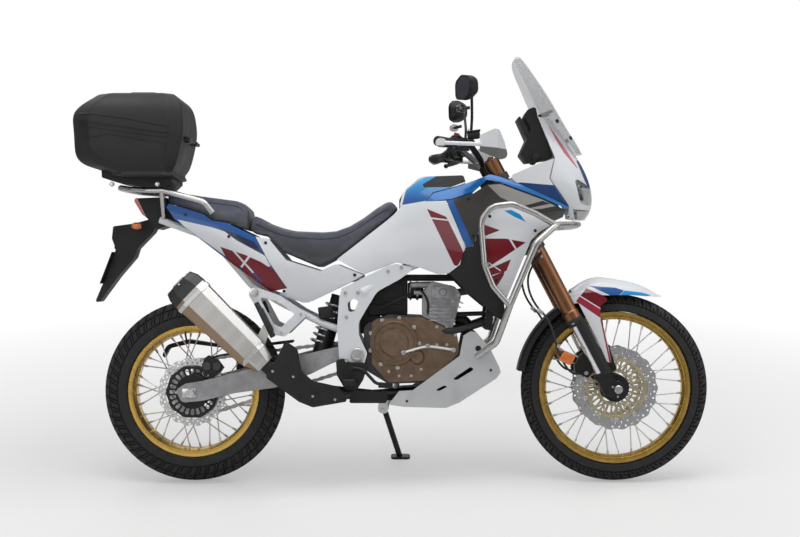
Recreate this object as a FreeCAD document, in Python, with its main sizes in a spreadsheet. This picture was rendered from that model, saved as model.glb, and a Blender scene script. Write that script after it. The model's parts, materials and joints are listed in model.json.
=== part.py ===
"""Adventure motorcycle with a top case, leaning on its side stand.

Everything is drawn upright in the bike's own frame, in millimetres: X forward, Y to the
rider's left, Z up, with the ground at Z = 0 and X = 0 midway between the axles. Each finished
sub-part is then leaned over onto the side stand by its Placement.
"""

import FreeCAD, Part
import math
import os
import re
from FreeCAD import Placement, Rotation, Vector

os.makedirs("parts", exist_ok=True)
doc = FreeCAD.newDocument("Motorcycle")
sheet = doc.addObject("Spreadsheet::Sheet", "Sizes")

# Driving dimensions: name, millimetres or degrees, what it is
SIZES = [
    ("lean_angle", 10, "lean to the left on the side stand"),
    ("origin_back", -34, "bike frame X of the row's origin"),
    ("origin_left", 230, "leaned Y of the row's origin"),
    ("ground_drop", 1.14, "the leaned rear tyre's lowest point below Z = 0"),
    ("running_gap", 0.3, "gap between pieces that seat on each other"),
    ("free_gap", 1.0, "gap beside a turning piece"),
    ("front_tyre_radius", 347, "90/90-21"),
    ("front_tyre_width", 90, "90/90-21"),
    ("front_rim_radius", 267, "bead seat"),
    ("front_rim_half", 27, "half the width between flanges"),
    ("rear_tyre_radius", 335, "150/70-18"),
    ("rear_tyre_width", 150, "150/70-18"),
    ("rear_rim_radius", 229, "bead seat"),
    ("rear_rim_half", 54, "half the width between flanges"),
    ("rim_flange", 15, "flange height above the bead seat"),
    ("rim_depth", 13, "well depth under the bead seat"),
    ("spoke_radius", 2.2, "wire spoke"),
    ("rear_axle_back", 780, "rear axle behind X = 0"),
    ("head_forward", 398, "steering axis at the head height"),
    ("head_height", 950, "height where the steering axis is placed"),
    ("rake_angle", 27.5, "steering axis from upright"),
    ("fork_offset", 35, "fork legs ahead of the steering axis"),
    ("axle_lead", 25, "front axle ahead of the fork legs"),
    ("fork_half", 105, "fork leg from the centre plane"),
    ("stanchion_radius", 21.5, "chrome inner tube"),
    ("outer_tube_radius", 29, "bronze outer tube"),
    ("stem_radius", 15, "steering stem"),
    ("head_tube_radius", 31, "frame's head tube"),
    ("axle_radius", 10, "both wheel axles"),
    ("axle_bore", 6, "hollow in both axles"),
    ("front_disc_radius", 155, "front brake discs"),
    ("front_disc_half", 63, "front disc from the centre plane"),
    ("rear_disc_radius", 129, "rear brake disc"),
    ("rear_disc_side", 88, "rear disc from the centre plane"),
    ("disc_thickness", 5, "all brake discs"),
    ("sprocket_radius", 106, "rear sprocket pitch radius"),
    ("drive_radius", 41, "countershaft sprocket pitch radius"),
    ("drive_back", 95, "countershaft behind X = 0"),
    ("drive_height", 485, "countershaft"),
    ("pivot_radius", 13, "swingarm pivot shaft"),
    ("plate_side", 145, "frame pivot plates, inner face"),
    ("chain_side", 97, "chain line from the centre plane"),
    ("chain_width", 22, "over the outer plates"),
    ("chain_height", 15, "height of a link plate"),
    ("pivot_back", 172, "swingarm pivot behind X = 0"),
    ("pivot_height", 475, "swingarm pivot"),
    ("arm_inner", 112, "swingarm arm, inner face"),
    ("arm_outer", 142, "swingarm arm, outer face"),
    ("panel_wall", 4, "moulded body panels"),
    ("seat_split", 566, "gap between the seats behind X = 0"),
    ("crash_bar_radius", 12.5, "stainless crash bars"),
    ("frame_tube_radius", 17, "main frame tubes"),
    ("subframe_radius", 13, "subframe tubes"),
    ("rack_tube_radius", 11, "rear carrier tubes"),
    ("handlebar_radius", 11, "handlebar tube"),
    ("grip_radius", 17, "hand grips"),
    ("handlebar_half", 455, "bar end from the centre plane"),
    ("stand_pivot_forward", -80, "side-stand pivot"),
    ("stand_pivot_side", 140, "side-stand pivot"),
    ("stand_pivot_height", 262, "side-stand pivot"),
    ("stand_foot_forward", 62, "foot ahead of the pivot"),
    ("stand_foot_side", 285, "foot from the centre plane"),
    ("stand_leg_radius", 11, "side-stand leg"),
    ("case_wall", 4, "top case shell"),
    ("case_rear", 1198, "top case behind X = 0"),
    ("case_front", 800, "top case front behind X = 0"),
    ("case_seam_rear", 1318, "lid seam height at the rear"),
    ("case_seam_front", 1262, "lid seam height at the front"),
]
for row, (alias, amount, meaning) in enumerate(SIZES, 1):
    sheet.set(f"A{row}", alias)
    sheet.set(f"B{row}", str(amount))
    sheet.set(f"C{row}", meaning)
    sheet.setAlias(f"B{row}", alias)
doc.recompute()


class SheetReader:
    """Reads a size from the sheet by its alias, so that it is written sz.alias."""

    def __getattr__(self, alias):
        return float(sheet.get(alias))


sz = SheetReader()
ALIASES = {alias for alias, amount, meaning in SIZES}
nodes = {}

# Work planes of a body: the sketch's own axes lie on these bike axes
SIDE, FRONT, PLAN = "XZ_Plane", "YZ_Plane", "XY_Plane"


def rule(text):
    """An expression on sheet aliases, with the sheet's name added."""
    return re.sub(r"[a-z]+(?:_[a-z]+)+", lambda m: "Sizes." + m[0] if m[0] in ALIASES else m[0], str(text))


def bind(item, **rules):
    for prop, text in rules.items():
        item.setExpression(prop, rule(text))
    return item


def curves(outline, closed=True):
    """Lines and corner arcs of an outline whose points are (u, v) or (u, v, corner radius)."""
    corners = [(Vector(p[0], p[1], 0), p[2] if len(p) > 2 else 0) for p in outline]
    count = len(corners)
    starts, ends, arcs = [], [], []
    for i, (corner, radius) in enumerate(corners):
        if radius == 0 or (not closed and i in (0, count - 1)):
            starts.append(corner)
            ends.append(corner)
            arcs.append(None)
            continue
        back = (corners[i - 1][0] - corner).normalize()
        ahead = (corners[(i + 1) % count][0] - corner).normalize()
        half = back.getAngle(ahead) / 2
        reach = radius / math.tan(half)
        middle = corner + (back + ahead).normalize() * (radius / math.sin(half) - radius)
        starts.append(corner + back * reach)
        ends.append(corner + ahead * reach)
        arcs.append(Part.Arc(starts[-1], middle, ends[-1]))
    drawn = []
    for i in range(count):
        if arcs[i]:
            drawn.append(arcs[i])
        if i < count - 1 or closed:
            drawn.append(Part.LineSegment(ends[i], starts[(i + 1) % count]))
    return drawn


def circle(u, v, radius):
    return [Part.Circle(Vector(u, v, 0), Vector(0, 0, 1), radius)]


def drawn(shape):
    """An outline's curves, or curves that are given as they are."""
    return curves(shape) if isinstance(shape[0], tuple) else shape


def sketch(body, name, plane, start, shapes):
    """A sketch on one of the body's own planes, start millimetres along the plane's normal."""
    page = body.newObject("Sketcher::SketchObject", name)
    support = [f for f in body.Origin.OriginFeatures if f.Role == plane][0]
    page.AttachmentSupport = [(support, "")]
    page.MapMode = "FlatFace"
    bind(page, **{"AttachmentOffset.Base.z": start})
    for shape in shapes:
        for curve in drawn(shape):
            page.addGeometry(curve)
    return page


def slab(name, shapes, low, high, plane=SIDE):
    """A body padded between two planes; shapes are its outline and then its holes."""
    body = doc.addObject("PartDesign::Body", name)
    start = f"-({high})" if plane == SIDE else low
    page = sketch(body, name + "_outline", plane, start, shapes)
    pad = body.newObject("PartDesign::Pad", name + "_pad")
    pad.Profile = page
    bind(pad, Length=f"({high}) - ({low})")
    return body


def turned(name, shapes, plane=FRONT, axis="H_Axis"):
    """A body revolved about one of its sketch's axes."""
    body = doc.addObject("PartDesign::Body", name)
    page = sketch(body, name + "_outline", plane, 0, shapes)
    spin = body.newObject("PartDesign::Revolution", name + "_turn")
    spin.Profile = page
    spin.ReferenceAxis = (page, [axis])
    spin.Angle = 360
    return body


def placed(item, x=0, y=0, z=0, turn=None):
    item.Placement = Placement(Vector(x, y, z), turn or Rotation())
    return item


def rod(name, start, end, radius):
    """A round bar between two points."""
    start, end = Vector(*start), Vector(*end)
    bar = doc.addObject("Part::Cylinder", name)
    bind(bar, Radius=radius)
    bar.Height = (end - start).Length
    bar.Placement = Placement(start, Rotation(Vector(0, 0, 1), end - start))
    return bar


def bent_path(points, bend):
    """Straight runs joined by tangent arcs."""
    points = [Vector(*p) for p in points]
    edges, last = [], points[0]
    for before, corner, after in zip(points, points[1:], points[2:]):
        back, ahead = (before - corner).normalize(), (after - corner).normalize()
        half = back.getAngle(ahead) / 2
        room = 0.45 * min((before - corner).Length, (after - corner).Length) * math.tan(half)
        radius = min(bend, room)
        first, second = corner + back * (radius / math.tan(half)), corner + ahead * (radius / math.tan(half))
        middle = corner + (back + ahead).normalize() * (radius / math.sin(half) - radius)
        edges.append(Part.LineSegment(last, first).toShape())
        edges.append(Part.Arc(first, middle, second).toShape())
        last = second
    edges.append(Part.LineSegment(last, points[-1]).toShape())
    return Part.Wire(edges)


def tube(name, points, radius, bend=60):
    """A round tube swept along a bent path."""
    path = doc.addObject("Part::Feature", name + "_path")
    path.Shape = bent_path(points, bend)
    ring = doc.addObject("Part::Circle", name + "_section")
    bind(ring, Radius=radius)
    ring.Placement = Placement(Vector(*points[0]), Rotation(Vector(0, 0, 1), Vector(*points[1]) - Vector(*points[0])))
    sweep = doc.addObject("Part::Sweep", name)
    sweep.Sections = [ring]
    sweep.Spine = (path, [f"Edge{i + 1}" for i in range(len(path.Shape.Edges))])
    sweep.Solid = True
    return sweep


def smooth_ring(points):
    """A closed smooth wire through the points."""
    ring = Part.BSplineCurve()
    ring.interpolate([Vector(*p) for p in points], PeriodicFlag=True)
    return Part.Wire([ring.toShape()])


def flat_wire(outline, place):
    """A closed outline with corner arcs, drawn flat and then placed."""
    wire = Part.Wire([curve.toShape() for curve in curves(outline)])
    wire.Placement = place
    return wire


def loft(name, wires, ruled=False):
    """A solid through closed wires."""
    sections = []
    for i, wire in enumerate(wires):
        page = doc.addObject("Part::Feature", f"{name}_section{i + 1}")
        page.Shape = wire
        sections.append(page)
    skin = doc.addObject("Part::Loft", name)
    skin.Sections = sections
    skin.Solid = True
    skin.Ruled = ruled
    return skin


def cut(name, base, *tools):
    for i, tool in enumerate(tools):
        step = doc.addObject("Part::Cut", f"{name}_cut{i + 1}")
        step.Base, step.Tool = base, tool
        base = step
    return base


def fuse(name, *items):
    joined = doc.addObject("Part::MultiFuse", name + "_fused")
    joined.Shapes = list(items)
    return joined


def common(name, *items):
    shared = doc.addObject("Part::MultiCommon", name + "_common")
    shared.Shapes = list(items)
    return shared


def mirrored(item):
    """The same piece on the other side of the centre plane."""
    other = doc.addObject("Part::Mirroring", item.Name + "_left")
    other.Source = item
    other.Normal = Vector(0, 1, 0)
    return other


def pair(item):
    return [item, mirrored(item)]


def node(label, *items):
    """Gathers a sub-part's solids under its name."""
    whole = doc.addObject("Part::Compound", label)
    whole.Links = list(items)
    whole.Label = label
    nodes[label] = whole
    return whole


# Places that many pieces share

RAKE = math.radians(sz.rake_angle)
UP = Vector(-math.sin(RAKE), 0, math.cos(RAKE))
AHEAD = Vector(math.cos(RAKE), 0, math.sin(RAKE))
AXLE_OFFSET = sz.fork_offset + sz.axle_lead
HEAD_RISE = (sz.head_height + AXLE_OFFSET * math.sin(RAKE) - sz.front_tyre_radius) / math.cos(RAKE)
FORK_FOOT = Vector(sz.head_forward, 0, sz.head_height) - UP * HEAD_RISE
FRONT_AXLE = FORK_FOOT + AHEAD * AXLE_OFFSET
REAR_AXLE = Vector(-sz.rear_axle_back, 0, sz.rear_tyre_radius)
PIVOT = Vector(-sz.pivot_back, 0, sz.pivot_height)
FORK_TURN = Rotation(Vector(0, 1, 0), -sz.rake_angle)


def fork_point(along, ahead, side=0):
    """A point given along the steering axis from the axle's level, ahead of it, and to the left."""
    return FORK_FOOT + UP * along + AHEAD * ahead + Vector(0, side, 0)


def at_fork(item, along=0, ahead=0, side=0):
    """Stands a piece drawn upright along the fork."""
    item.Placement = Placement(fork_point(along, ahead, side), FORK_TURN)
    return item


# Wheels

def tyre(label, axle, radius, width, rim_radius, rim_half):
    """A tyre with a round crown, drawn about its own axle."""
    crown, wall = width / 2, 10
    bead, seat = rim_half - sz.running_gap, rim_radius + sz.running_gap
    top = rim_radius + sz.rim_flange + 1
    centre = radius - crown
    start = math.asin(max(-0.5, (top + 4 - centre) / crown))
    outer = (crown * math.cos(start), centre + crown * math.sin(start))
    inner = ((crown - wall) * math.cos(start), centre + (crown - wall) * math.sin(start))
    crown_arc = Part.Arc(Vector(*outer, 0), Vector(0, radius, 0), Vector(-outer[0], outer[1], 0))
    hollow_arc = Part.Arc(Vector(-inner[0], inner[1], 0), Vector(0, radius - wall - 3, 0), Vector(*inner, 0))
    right = [(bead - wall, top + 3), (bead - wall, seat), (bead - 5, seat), (bead, seat + 5), (bead, top), outer]
    left = [(-outer[0], outer[1]), (-bead, top), (-bead, seat + 5), (5 - bead, seat), (wall - bead, seat), (wall - bead, top + 3),
            (-inner[0], inner[1])]
    lines = [Part.LineSegment(Vector(*p, 0), Vector(*q, 0)) for p, q in zip(right, right[1:])]
    lines += [Part.LineSegment(Vector(*p, 0), Vector(*q, 0)) for p, q in zip(left, left[1:])]
    lines.append(Part.LineSegment(Vector(*inner, 0), Vector(*right[0], 0)))
    profile = [crown_arc, hollow_arc] + lines
    return node(label, placed(turned(label + "_ring", [profile]), *axle))


def rim(label, axle, radius, half):
    """A spoked rim: flanges, bead seats and a well."""
    flange, well = radius + sz.rim_flange, radius - sz.rim_depth
    profile = [(-half - 6, flange, 2), (-half, flange, 2), (-half, radius, 3), (-half * 0.55, radius - 1, 3),
               (-half * 0.4, well + 4, 3), (half * 0.4, well + 4, 3), (half * 0.55, radius - 1, 3),
               (half, radius, 3), (half, flange, 2), (half + 6, flange, 2), (half + 5, radius - 6, 3),
               (half * 0.5, well - 2, 4), (-half * 0.5, well - 2, 4), (-half - 5, radius - 6, 3)]
    return node(label, placed(turned(label + "_hoop", [profile]), *axle))


def spokes(label, axle, rim_radius, rim_half, flange_radius, flange_half, count):
    """Crossed wire spokes from the hub's flanges to the rim's bed."""
    bars = []
    reach = rim_radius - sz.rim_depth - 3
    for i in range(count):
        side = 1 if i % 2 else -1
        lean = 1 if i % 4 < 2 else -1
        at_rim = 2 * math.pi * (i + 0.5) / count
        at_hub = at_rim + lean * math.radians(52)
        apart = lean * (sz.spoke_radius + sz.running_gap)
        start = Vector(flange_radius * math.cos(at_hub), side * (flange_half + apart), flange_radius * math.sin(at_hub))
        end = Vector(reach * math.cos(at_rim), side * (rim_half * 0.25 + apart), reach * math.sin(at_rim))
        bars.append(rod(f"{label}_{i + 1}", axle + start, axle + end, "spoke_radius"))
    return node(label, *bars)


def hub(label, axle, outline):
    """A hub turned about the axle, given as (side, radius) from one end to the other."""
    bore = sz.axle_radius + sz.running_gap
    profile = [(outline[0][0], bore)] + outline + [(outline[-1][0], bore)]
    return node(label, placed(turned(label + "_shell", [profile]), *axle))


def wavy_disc(name, radius, inner, side, waves=10):
    """A wave-edged brake disc with its friction ring, holes drilled round it."""
    points = []
    for i in range(4 * waves):
        reach = radius if i % 4 < 2 else radius - 5
        turn = 2 * math.pi * i / (4 * waves)
        points.append((reach * math.cos(turn), reach * math.sin(turn), 4))
    holes = [circle(0, 0, inner)]
    for i in range(2 * waves):
        turn = 2 * math.pi * (i + 0.25) / (2 * waves)
        middle = (radius + inner) / 2 + (9 if i % 2 else -7)
        holes.append(circle(middle * math.cos(turn), middle * math.sin(turn), 4))
    return slab(name, [points] + holes, f"{side} - disc_thickness / 2", f"{side} + disc_thickness / 2")


def carrier(name, radius, inner, side, arms=5):
    """The spider that carries a floating disc."""
    points = []
    for i in range(arms):
        for turn, reach in ((-20, inner + 14), (-9, radius), (9, radius), (20, inner + 14)):
            angle = math.radians(360 * i / arms + turn)
            points.append((reach * math.cos(angle), reach * math.sin(angle)))
    return slab(name, [points, circle(0, 0, inner)], f"{side} - disc_thickness / 2", f"{side} + disc_thickness / 2")


def front_wheel():
    tyre("front_tyre", FRONT_AXLE, sz.front_tyre_radius, sz.front_tyre_width, sz.front_rim_radius, sz.front_rim_half)
    rim("front_rim", FRONT_AXLE, sz.front_rim_radius, sz.front_rim_half)
    flange = 46
    end = sz.fork_half - 30 - sz.free_gap
    seat = sz.front_disc_half - sz.disc_thickness / 2 - sz.running_gap
    hub("front_hub", FRONT_AXLE, [(-end, 17), (-seat, 17), (-seat, 50), (-flange - 4, 52), (-flange, 34), (-30, 26),
                                  (30, 26), (flange, 34), (flange + 4, 52), (seat, 50), (seat, 17), (end, 17)])
    spokes("front_spokes", FRONT_AXLE, sz.front_rim_radius, sz.front_rim_half, 55.5, flange + 1, 36)
    ring = 117
    discs = [placed(wavy_disc("front_disc", sz.front_disc_radius, ring, "front_disc_half"), *FRONT_AXLE)]
    spider = placed(carrier("front_carrier", ring - sz.running_gap, 18, "front_disc_half"), *FRONT_AXLE)
    node("front_discs", *pair(discs[0]), *pair(spider))


def rear_wheel():
    tyre("rear_tyre", REAR_AXLE, sz.rear_tyre_radius, sz.rear_tyre_width, sz.rear_rim_radius, sz.rear_rim_half)
    rim("rear_rim", REAR_AXLE, sz.rear_rim_radius, sz.rear_rim_half)
    flange = 56
    right = -sz.rear_disc_side + sz.disc_thickness / 2 + sz.running_gap
    left = sz.chain_side - 3.5 - sz.running_gap
    end = sz.arm_inner - sz.free_gap
    hub("rear_hub", REAR_AXLE, [(-end, 17), (right, 17), (right, 58), (-flange - 4, 62), (-flange, 40), (-36, 30),
                                (36, 30), (flange, 40), (flange + 4, 62), (left, 60), (left, 20), (end, 20)])
    spokes("rear_spokes", REAR_AXLE, sz.rear_rim_radius, sz.rear_rim_half, 66, flange + 1, 36)
    node("rear_disc", placed(wavy_disc("rear_disc_ring", sz.rear_disc_radius, 76, "-rear_disc_side"), *REAR_AXLE),
         placed(carrier("rear_carrier_ring", 76 - sz.running_gap, 18, "-rear_disc_side"), *REAR_AXLE))
    teeth = 42
    points = []
    for i in range(teeth):
        for step, reach in ((0.0, -6), (0.3, 5), (0.5, 5)):
            turn = 2 * math.pi * (i + step) / teeth
            points.append(((sz.sprocket_radius + reach) * math.cos(turn), (sz.sprocket_radius + reach) * math.sin(turn)))
    windows = [circle(72 * math.cos(a), 72 * math.sin(a), 15) for a in (2 * math.pi * i / 6 for i in range(6))]
    plate = slab("rear_sprocket_plate", [points, circle(0, 0, 20 + sz.running_gap)] + windows,
                 "chain_side - 3.5", "chain_side + 3.5")
    node("rear_sprocket", placed(plate, *REAR_AXLE))


# Front fork and steering

def clamp_pair(name, width, depth):
    """A yoke's outline seen along the fork: stem boss and a clamp round each leg."""
    return [(-34, -38, 20), (sz.fork_offset - 36, -sz.fork_half - 34, 24), (sz.fork_offset + 38, -sz.fork_half - 34, 30),
            (sz.fork_offset + 30, -sz.fork_half + 30, 20), (depth, 0, 30), (sz.fork_offset + 30, sz.fork_half - 30, 20),
            (sz.fork_offset + 38, sz.fork_half + 34, 30), (sz.fork_offset - 36, sz.fork_half + 34, 24), (-34, 38, 20)]


LOWER_YOKE, UPPER_YOKE, FORK_TOP = 590, 872, 955
YOKE_DEEP, YOKE_THIN = 40, 24


def fork():
    leg_hole = sz.outer_tube_radius + 0.02
    holes = [circle(sz.fork_offset, side * sz.fork_half, leg_hole) for side in (-1, 1)]
    stem_hole = circle(0, 0, sz.stem_radius + 0.02)
    shape = clamp_pair("yoke", 30, 44)
    lower = at_fork(slab("lower_yoke", [shape, stem_hole] + holes, 0, YOKE_DEEP, PLAN), LOWER_YOKE)
    upper = at_fork(slab("upper_yoke", [shape, stem_hole] + holes, 0, YOKE_THIN, PLAN), UPPER_YOKE)
    stem = rod("stem", fork_point(LOWER_YOKE, 0), fork_point(UPPER_YOKE + YOKE_THIN + 8, 0), "stem_radius")
    node("fork_yokes", lower, upper, stem)
    bottom = 300
    outer = turned("fork_outer", [[(sz.stanchion_radius + sz.running_gap, bottom), (sz.outer_tube_radius + 3, bottom),
                                   (sz.outer_tube_radius + 3, bottom + 30, 2), (sz.outer_tube_radius, bottom + 36, 2),
                                   (sz.outer_tube_radius, FORK_TOP), (10, FORK_TOP), (10, FORK_TOP - 12),
                                   (sz.stanchion_radius + sz.running_gap, FORK_TOP - 12)]], SIDE, "V_Axis")
    node("fork_tubes", *pair(at_fork(outer, 0, sz.fork_offset, -sz.fork_half)))
    inner = rod("fork_inner", fork_point(68.3, sz.fork_offset, -sz.fork_half),
                fork_point(FORK_TOP - 14, sz.fork_offset, -sz.fork_half), "stanchion_radius")
    node("fork_stanchions", *pair(inner))
    lug = slab("fork_lug", [[(-28, 68, 8), (28, 68, 8), (32, 30, 16), (sz.axle_lead + 30, 12, 16),
                             (sz.axle_lead + 26, -34, 24), (sz.axle_lead - 20, -34, 24), (-28, 0, 20)],
                            circle(sz.axle_lead, 0, sz.axle_radius + 0.02)], -27, 27)
    node("fork_lowers", *pair(at_fork(lug, 0, sz.fork_offset, -sz.fork_half)))
    tip = sz.fork_half + 34
    axle = turned("front_axle_rod", [[(-tip, sz.axle_bore), (-tip, 15, 2), (-sz.fork_half - 27.3, 15),
                                      (-sz.fork_half - 27.3, sz.axle_radius), (tip, sz.axle_radius, 2),
                                      (tip, sz.axle_bore)]])
    node("front_axle", placed(axle, *FRONT_AXLE))


def calipers():
    """Four-piston front calipers straddling the discs behind the legs."""
    radius = sz.front_disc_radius
    shape = [polar(radius - 44, 118, 8), polar(radius + 20, 116, 14), polar(radius + 20, 158, 14), polar(radius - 44, 160, 8)]
    outer = slab("caliper_outer", [shape], "front_disc_half + 4", "front_disc_half + 17")
    inner = slab("caliper_inner", [shape], "front_disc_half - 17", "front_disc_half - 4")
    bridge = slab("caliper_bridge", [[polar(radius + 7, 122), polar(radius + 20, 120, 4), polar(radius + 26, 137, 30),
                                      polar(radius + 20, 154, 4), polar(radius + 7, 152), polar(radius + 11, 137, 60)]],
                  "front_disc_half - 17", "front_disc_half + 17")
    arm = slab("caliper_arm", [[polar(radius + 8, 122, 6), polar(radius - 30, 124, 6), polar(60, 112, 8), polar(70, 88, 8),
                                polar(radius + 8, 100, 8)]], "front_disc_half + 4", "fork_half - 27.6")
    whole = placed(fuse("front_caliper", outer, inner, bridge, arm), *FRONT_AXLE)
    node("front_calipers", *pair(whole))


def polar(radius, degrees, corner=0):
    """A side-view outline point from its distance and direction off the axle, 90 degrees being straight up."""
    turn = math.radians(degrees)
    return (radius * math.cos(turn), radius * math.sin(turn), corner)


def arch_row(x, low, high, half, wall):
    """A cross-section of the front mudguard: a bow over the tyre with a thin wall."""
    outer = Part.Arc(Vector(x, -half, low), Vector(x, 0, high), Vector(x, half, low)).toShape()
    inner = Part.Arc(Vector(x, half - wall, low), Vector(x, 0, high - wall), Vector(x, wall - half, low)).toShape()
    ends = [Part.LineSegment(Vector(x, half, low), Vector(x, half - wall, low)).toShape(),
            Part.LineSegment(Vector(x, wall - half, low), Vector(x, -half, low)).toShape()]
    return Part.Wire([outer, ends[0], inner, ends[1]])


# Front mudguard cross-sections: X, height of the lower edge, height of the crown, half width
FENDER_ROWS = [(955, 682, 687, 12), (935, 683, 696, 30), (890, 686, 721, 50), (830, 690, 740, 60), (770, 690, 751, 68),
               (705, 690, 755, 84), (655, 690, 736, 98), (618, 690, 712, 104)]


def front_fender():
    """A beaked mudguard over the wheel, a blade ahead of each fork leg and the splash guard that carries them."""
    cap = loft("fender_cap", [arch_row(*row, 3.5) for row in FENDER_ROWS])
    side = sz.fork_half - 3
    blade = slab("fender_blade", [[(634, 668, 8), (650, 689.7), (722, 689.7), (752, 676, 10), (718, 652, 12),
                                   (718, 608, 20), (736, 555, 20), (759, 440, 4), (742, 447, 6), (700, 540, 60)]],
                 f"-{side + 3.5}", f"-{side}")
    web = slab("fender_web", [[(622, 660), (700, 672, 10), (722, 684, 6), (706, 700, 6), (601, 700)]],
               f"-{side}", f"-{side - 14}")
    node("front_fender", fuse("front_fender", cap, blade, mirrored(blade), web, mirrored(web)))
    near, far = sz.front_tyre_radius + 17, sz.front_tyre_radius + 21
    arch = [(-57, near - 22, 1), (-57, far - 2, 14), (57, far - 2, 14), (57, near - 22, 1), (53, near - 22, 1), (53, near, 12),
            (-53, near, 12), (-53, near - 22, 1)]
    body = doc.addObject("PartDesign::Body", "splash_guard")
    page = sketch(body, "splash_section", FRONT, 0, [arch])
    sweep = body.newObject("PartDesign::Revolution", "splash_turn")
    sweep.Profile = page
    sweep.ReferenceAxis = (page, ["H_Axis"])
    sweep.Angle = 78
    body.Placement = Placement(FRONT_AXLE, Rotation(Vector(0, 1, 0), -80))
    inward = sz.fork_half - sz.outer_tube_radius - sz.running_gap
    arms = [rod(f"splash_arm{side + 2}", fork_point(356, sz.fork_offset, side * inward),
                fork_point(356, sz.fork_offset, side * 54), 9) for side in (-1, 1)]
    guard_foot = 68 + sz.running_gap
    inner = sz.stanchion_radius + sz.running_gap
    shells = []
    plan = [(-4, -36, 1), (20, -36, 16), (36, -20, 16), (36, 22, 1), (32, 22, 1), (32, -18, 13), (18, -32, 13), (-4, -32, 1)]
    blade_run = slab("leg_guard_shell", [plan], guard_foot, 290, PLAN)
    collar = slab("leg_guard_collar", [circle(0, 0, 33), circle(0, 0, inner)], guard_foot, guard_foot + 14, PLAN)
    guard = at_fork(fuse("leg_guard", blade_run, collar), 0, sz.fork_offset, -sz.fork_half)
    node("fork_guards", fuse("splash", body, *arms), *pair(guard))


def handlebar():
    """Tapered bar on two risers."""
    half = sz.handlebar_half
    centre = fork_point(UPPER_YOKE + YOKE_THIN + 66, 4)
    points = [(centre.x, -62, centre.z), (centre.x - 8, -110, centre.z + 12), (230, -235, 1240), (165, -330, 1233),
              (127, -half, 1223)]
    left = [(x, -y, z) for x, y, z in points]
    bar = tube("bar_tube", points[::-1] + left, "handlebar_radius", 70)
    risers = []
    for side in (-1, 1):
        foot = fork_point(UPPER_YOKE + YOKE_THIN + sz.running_gap, 4, side * 34)
        top = centre - UP * (sz.handlebar_radius + sz.running_gap) + Vector(0, side * 34, 0)
        risers.append(rod(f"riser{side + 2}", foot, top, 14))
    node("handlebar", bar, *risers)
    return centre


def grips():
    """Rubber grips on the bar's ends."""
    half = sz.handlebar_half
    sleeve = sz.handlebar_radius + sz.running_gap
    items = []
    for side in (-1, 1):
        hand = "right" if side < 0 else "left"
        inner, outer = Vector(165, side * 330, 1233), Vector(127, side * half, 1223)
        run = (outer - inner).normalize()
        grip = rod(f"grip_{hand}_bar", inner + run * 10, outer - run * 2, "grip_radius")
        bore = rod(f"grip_{hand}_bore", inner, outer + run * 20, "handlebar_radius + running_gap")
        items.append(cut(f"grip_{hand}", grip, bore))
    return items


def pods():
    """Switch pods with the pumps, levers and mirrors."""
    items = grips()
    for side in (-1, 1):
        hand = "right" if side < 0 else "left"
        start, end = Vector(230, side * 235, 1240), Vector(165, side * 330, 1233)
        run = (end - start).normalize()
        shell = rod(f"pod_{hand}_shell", start + run * 62, end - run * 12, 23)
        bore = rod(f"pod_{hand}_bore", start, end + run * 20, "handlebar_radius + running_gap")
        items.append(cut(f"pod_{hand}", shell, bore))
        pump = rod(f"pump_{hand}_shell", start + run * 22, start + run * 58, 18)
        arm = rod(f"pump_{hand}_body", start + run * 40 + Vector(18, 0, 4), start + run * 76 + Vector(52, 0, 0), 11)
        lever = rod(f"lever_{hand}", start + run * 76 + Vector(52, 0, 0), Vector(178, side * 446, 1206), 6)
        items.append(cut(f"pump_{hand}", fuse(f"pump_{hand}", pump, arm, lever, *mirror(side, hand)), bore))
    node("bar_controls", *items)


def hand_guards():
    """Open-ended shields in front of the grips, carried by the bar ends."""
    items = []
    for side in (-1, 1):
        hand = "right" if side < 0 else "left"
        outline = [(236, 1236, 20), (312, 1274, 14), (330, 1272, 10), (350, 1232, 20), (366, 1180, 20), (330, 1168, 20),
                   (243, 1196, 20)]
        low, high = (296, 478)
        shape = slab(f"guard_{hand}_side", [outline], low, high) if side > 0 else \
            slab(f"guard_{hand}_side", [outline], -high, -low)
        outer = [(392, side * 250), (366, side * 330), (322, side * 420), (262, side * 478), (246, side * 484)]
        wall = [(x - 5, y) for x, y in outer]
        plan = slab(f"guard_{hand}_plan", [outer + wall[::-1]], 1100, 1300, PLAN)
        shield = common(f"guard_{hand}", shape, plan)
        tip = Vector(127, side * sz.handlebar_half, 1223)
        out = (tip - Vector(165, side * 330, 1233)).normalize()
        weight = rod(f"guard_{hand}_weight", tip + out * sz.running_gap, tip + out * 22, 16)
        stay = rod(f"guard_{hand}_stay", tip + out * 12, Vector(262, side * 474, 1216), 7)
        items.append(fuse(f"guard_{hand}", shield, weight, stay))
    return node("hand_guards", *items)


def mirror(side, hand):
    """A mirror on its stem, standing on the bar's clamp and turned a little outwards."""
    stem = tube(f"mirror_{hand}_stem", [(236, side * 262, 1258), (240, side * 262, 1330), (236, side * 330, 1400),
                                        (222, side * 386, 1412)], 5, 40)
    outline = [(-54, -36, 20), (-58, 24, 24), (-10, 46, 40), (56, 36, 24), (60, -22, 24), (4, -44, 40)]
    turn = Rotation(Vector(0, 0, 1), -side * 24)
    rings = []
    for back, share in ((-16, 0.94), (-10, 1), (2, 0.98), (16, 0.84), (26, 0.5)):
        scaled = [(side * share * y, share * z, share * corner) for y, z, corner in outline]
        stand = Rotation(Vector(0, 1, 0), Vector(0, 0, 1), Vector(1, 0, 0), "ZXY")
        place = Placement(Vector(216, side * 426, 1415), turn.multiply(stand))
        rings.append(flat_wire(scaled, place.multiply(Placement(Vector(0, 0, back), Rotation()))))
    head = loft(f"mirror_{hand}_head", rings)
    foot = rod(f"mirror_{hand}_foot", (236, side * 262, 1244), (236, side * 262, 1262), 8)
    return [stem, head, foot]


# Frame and engine

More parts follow.
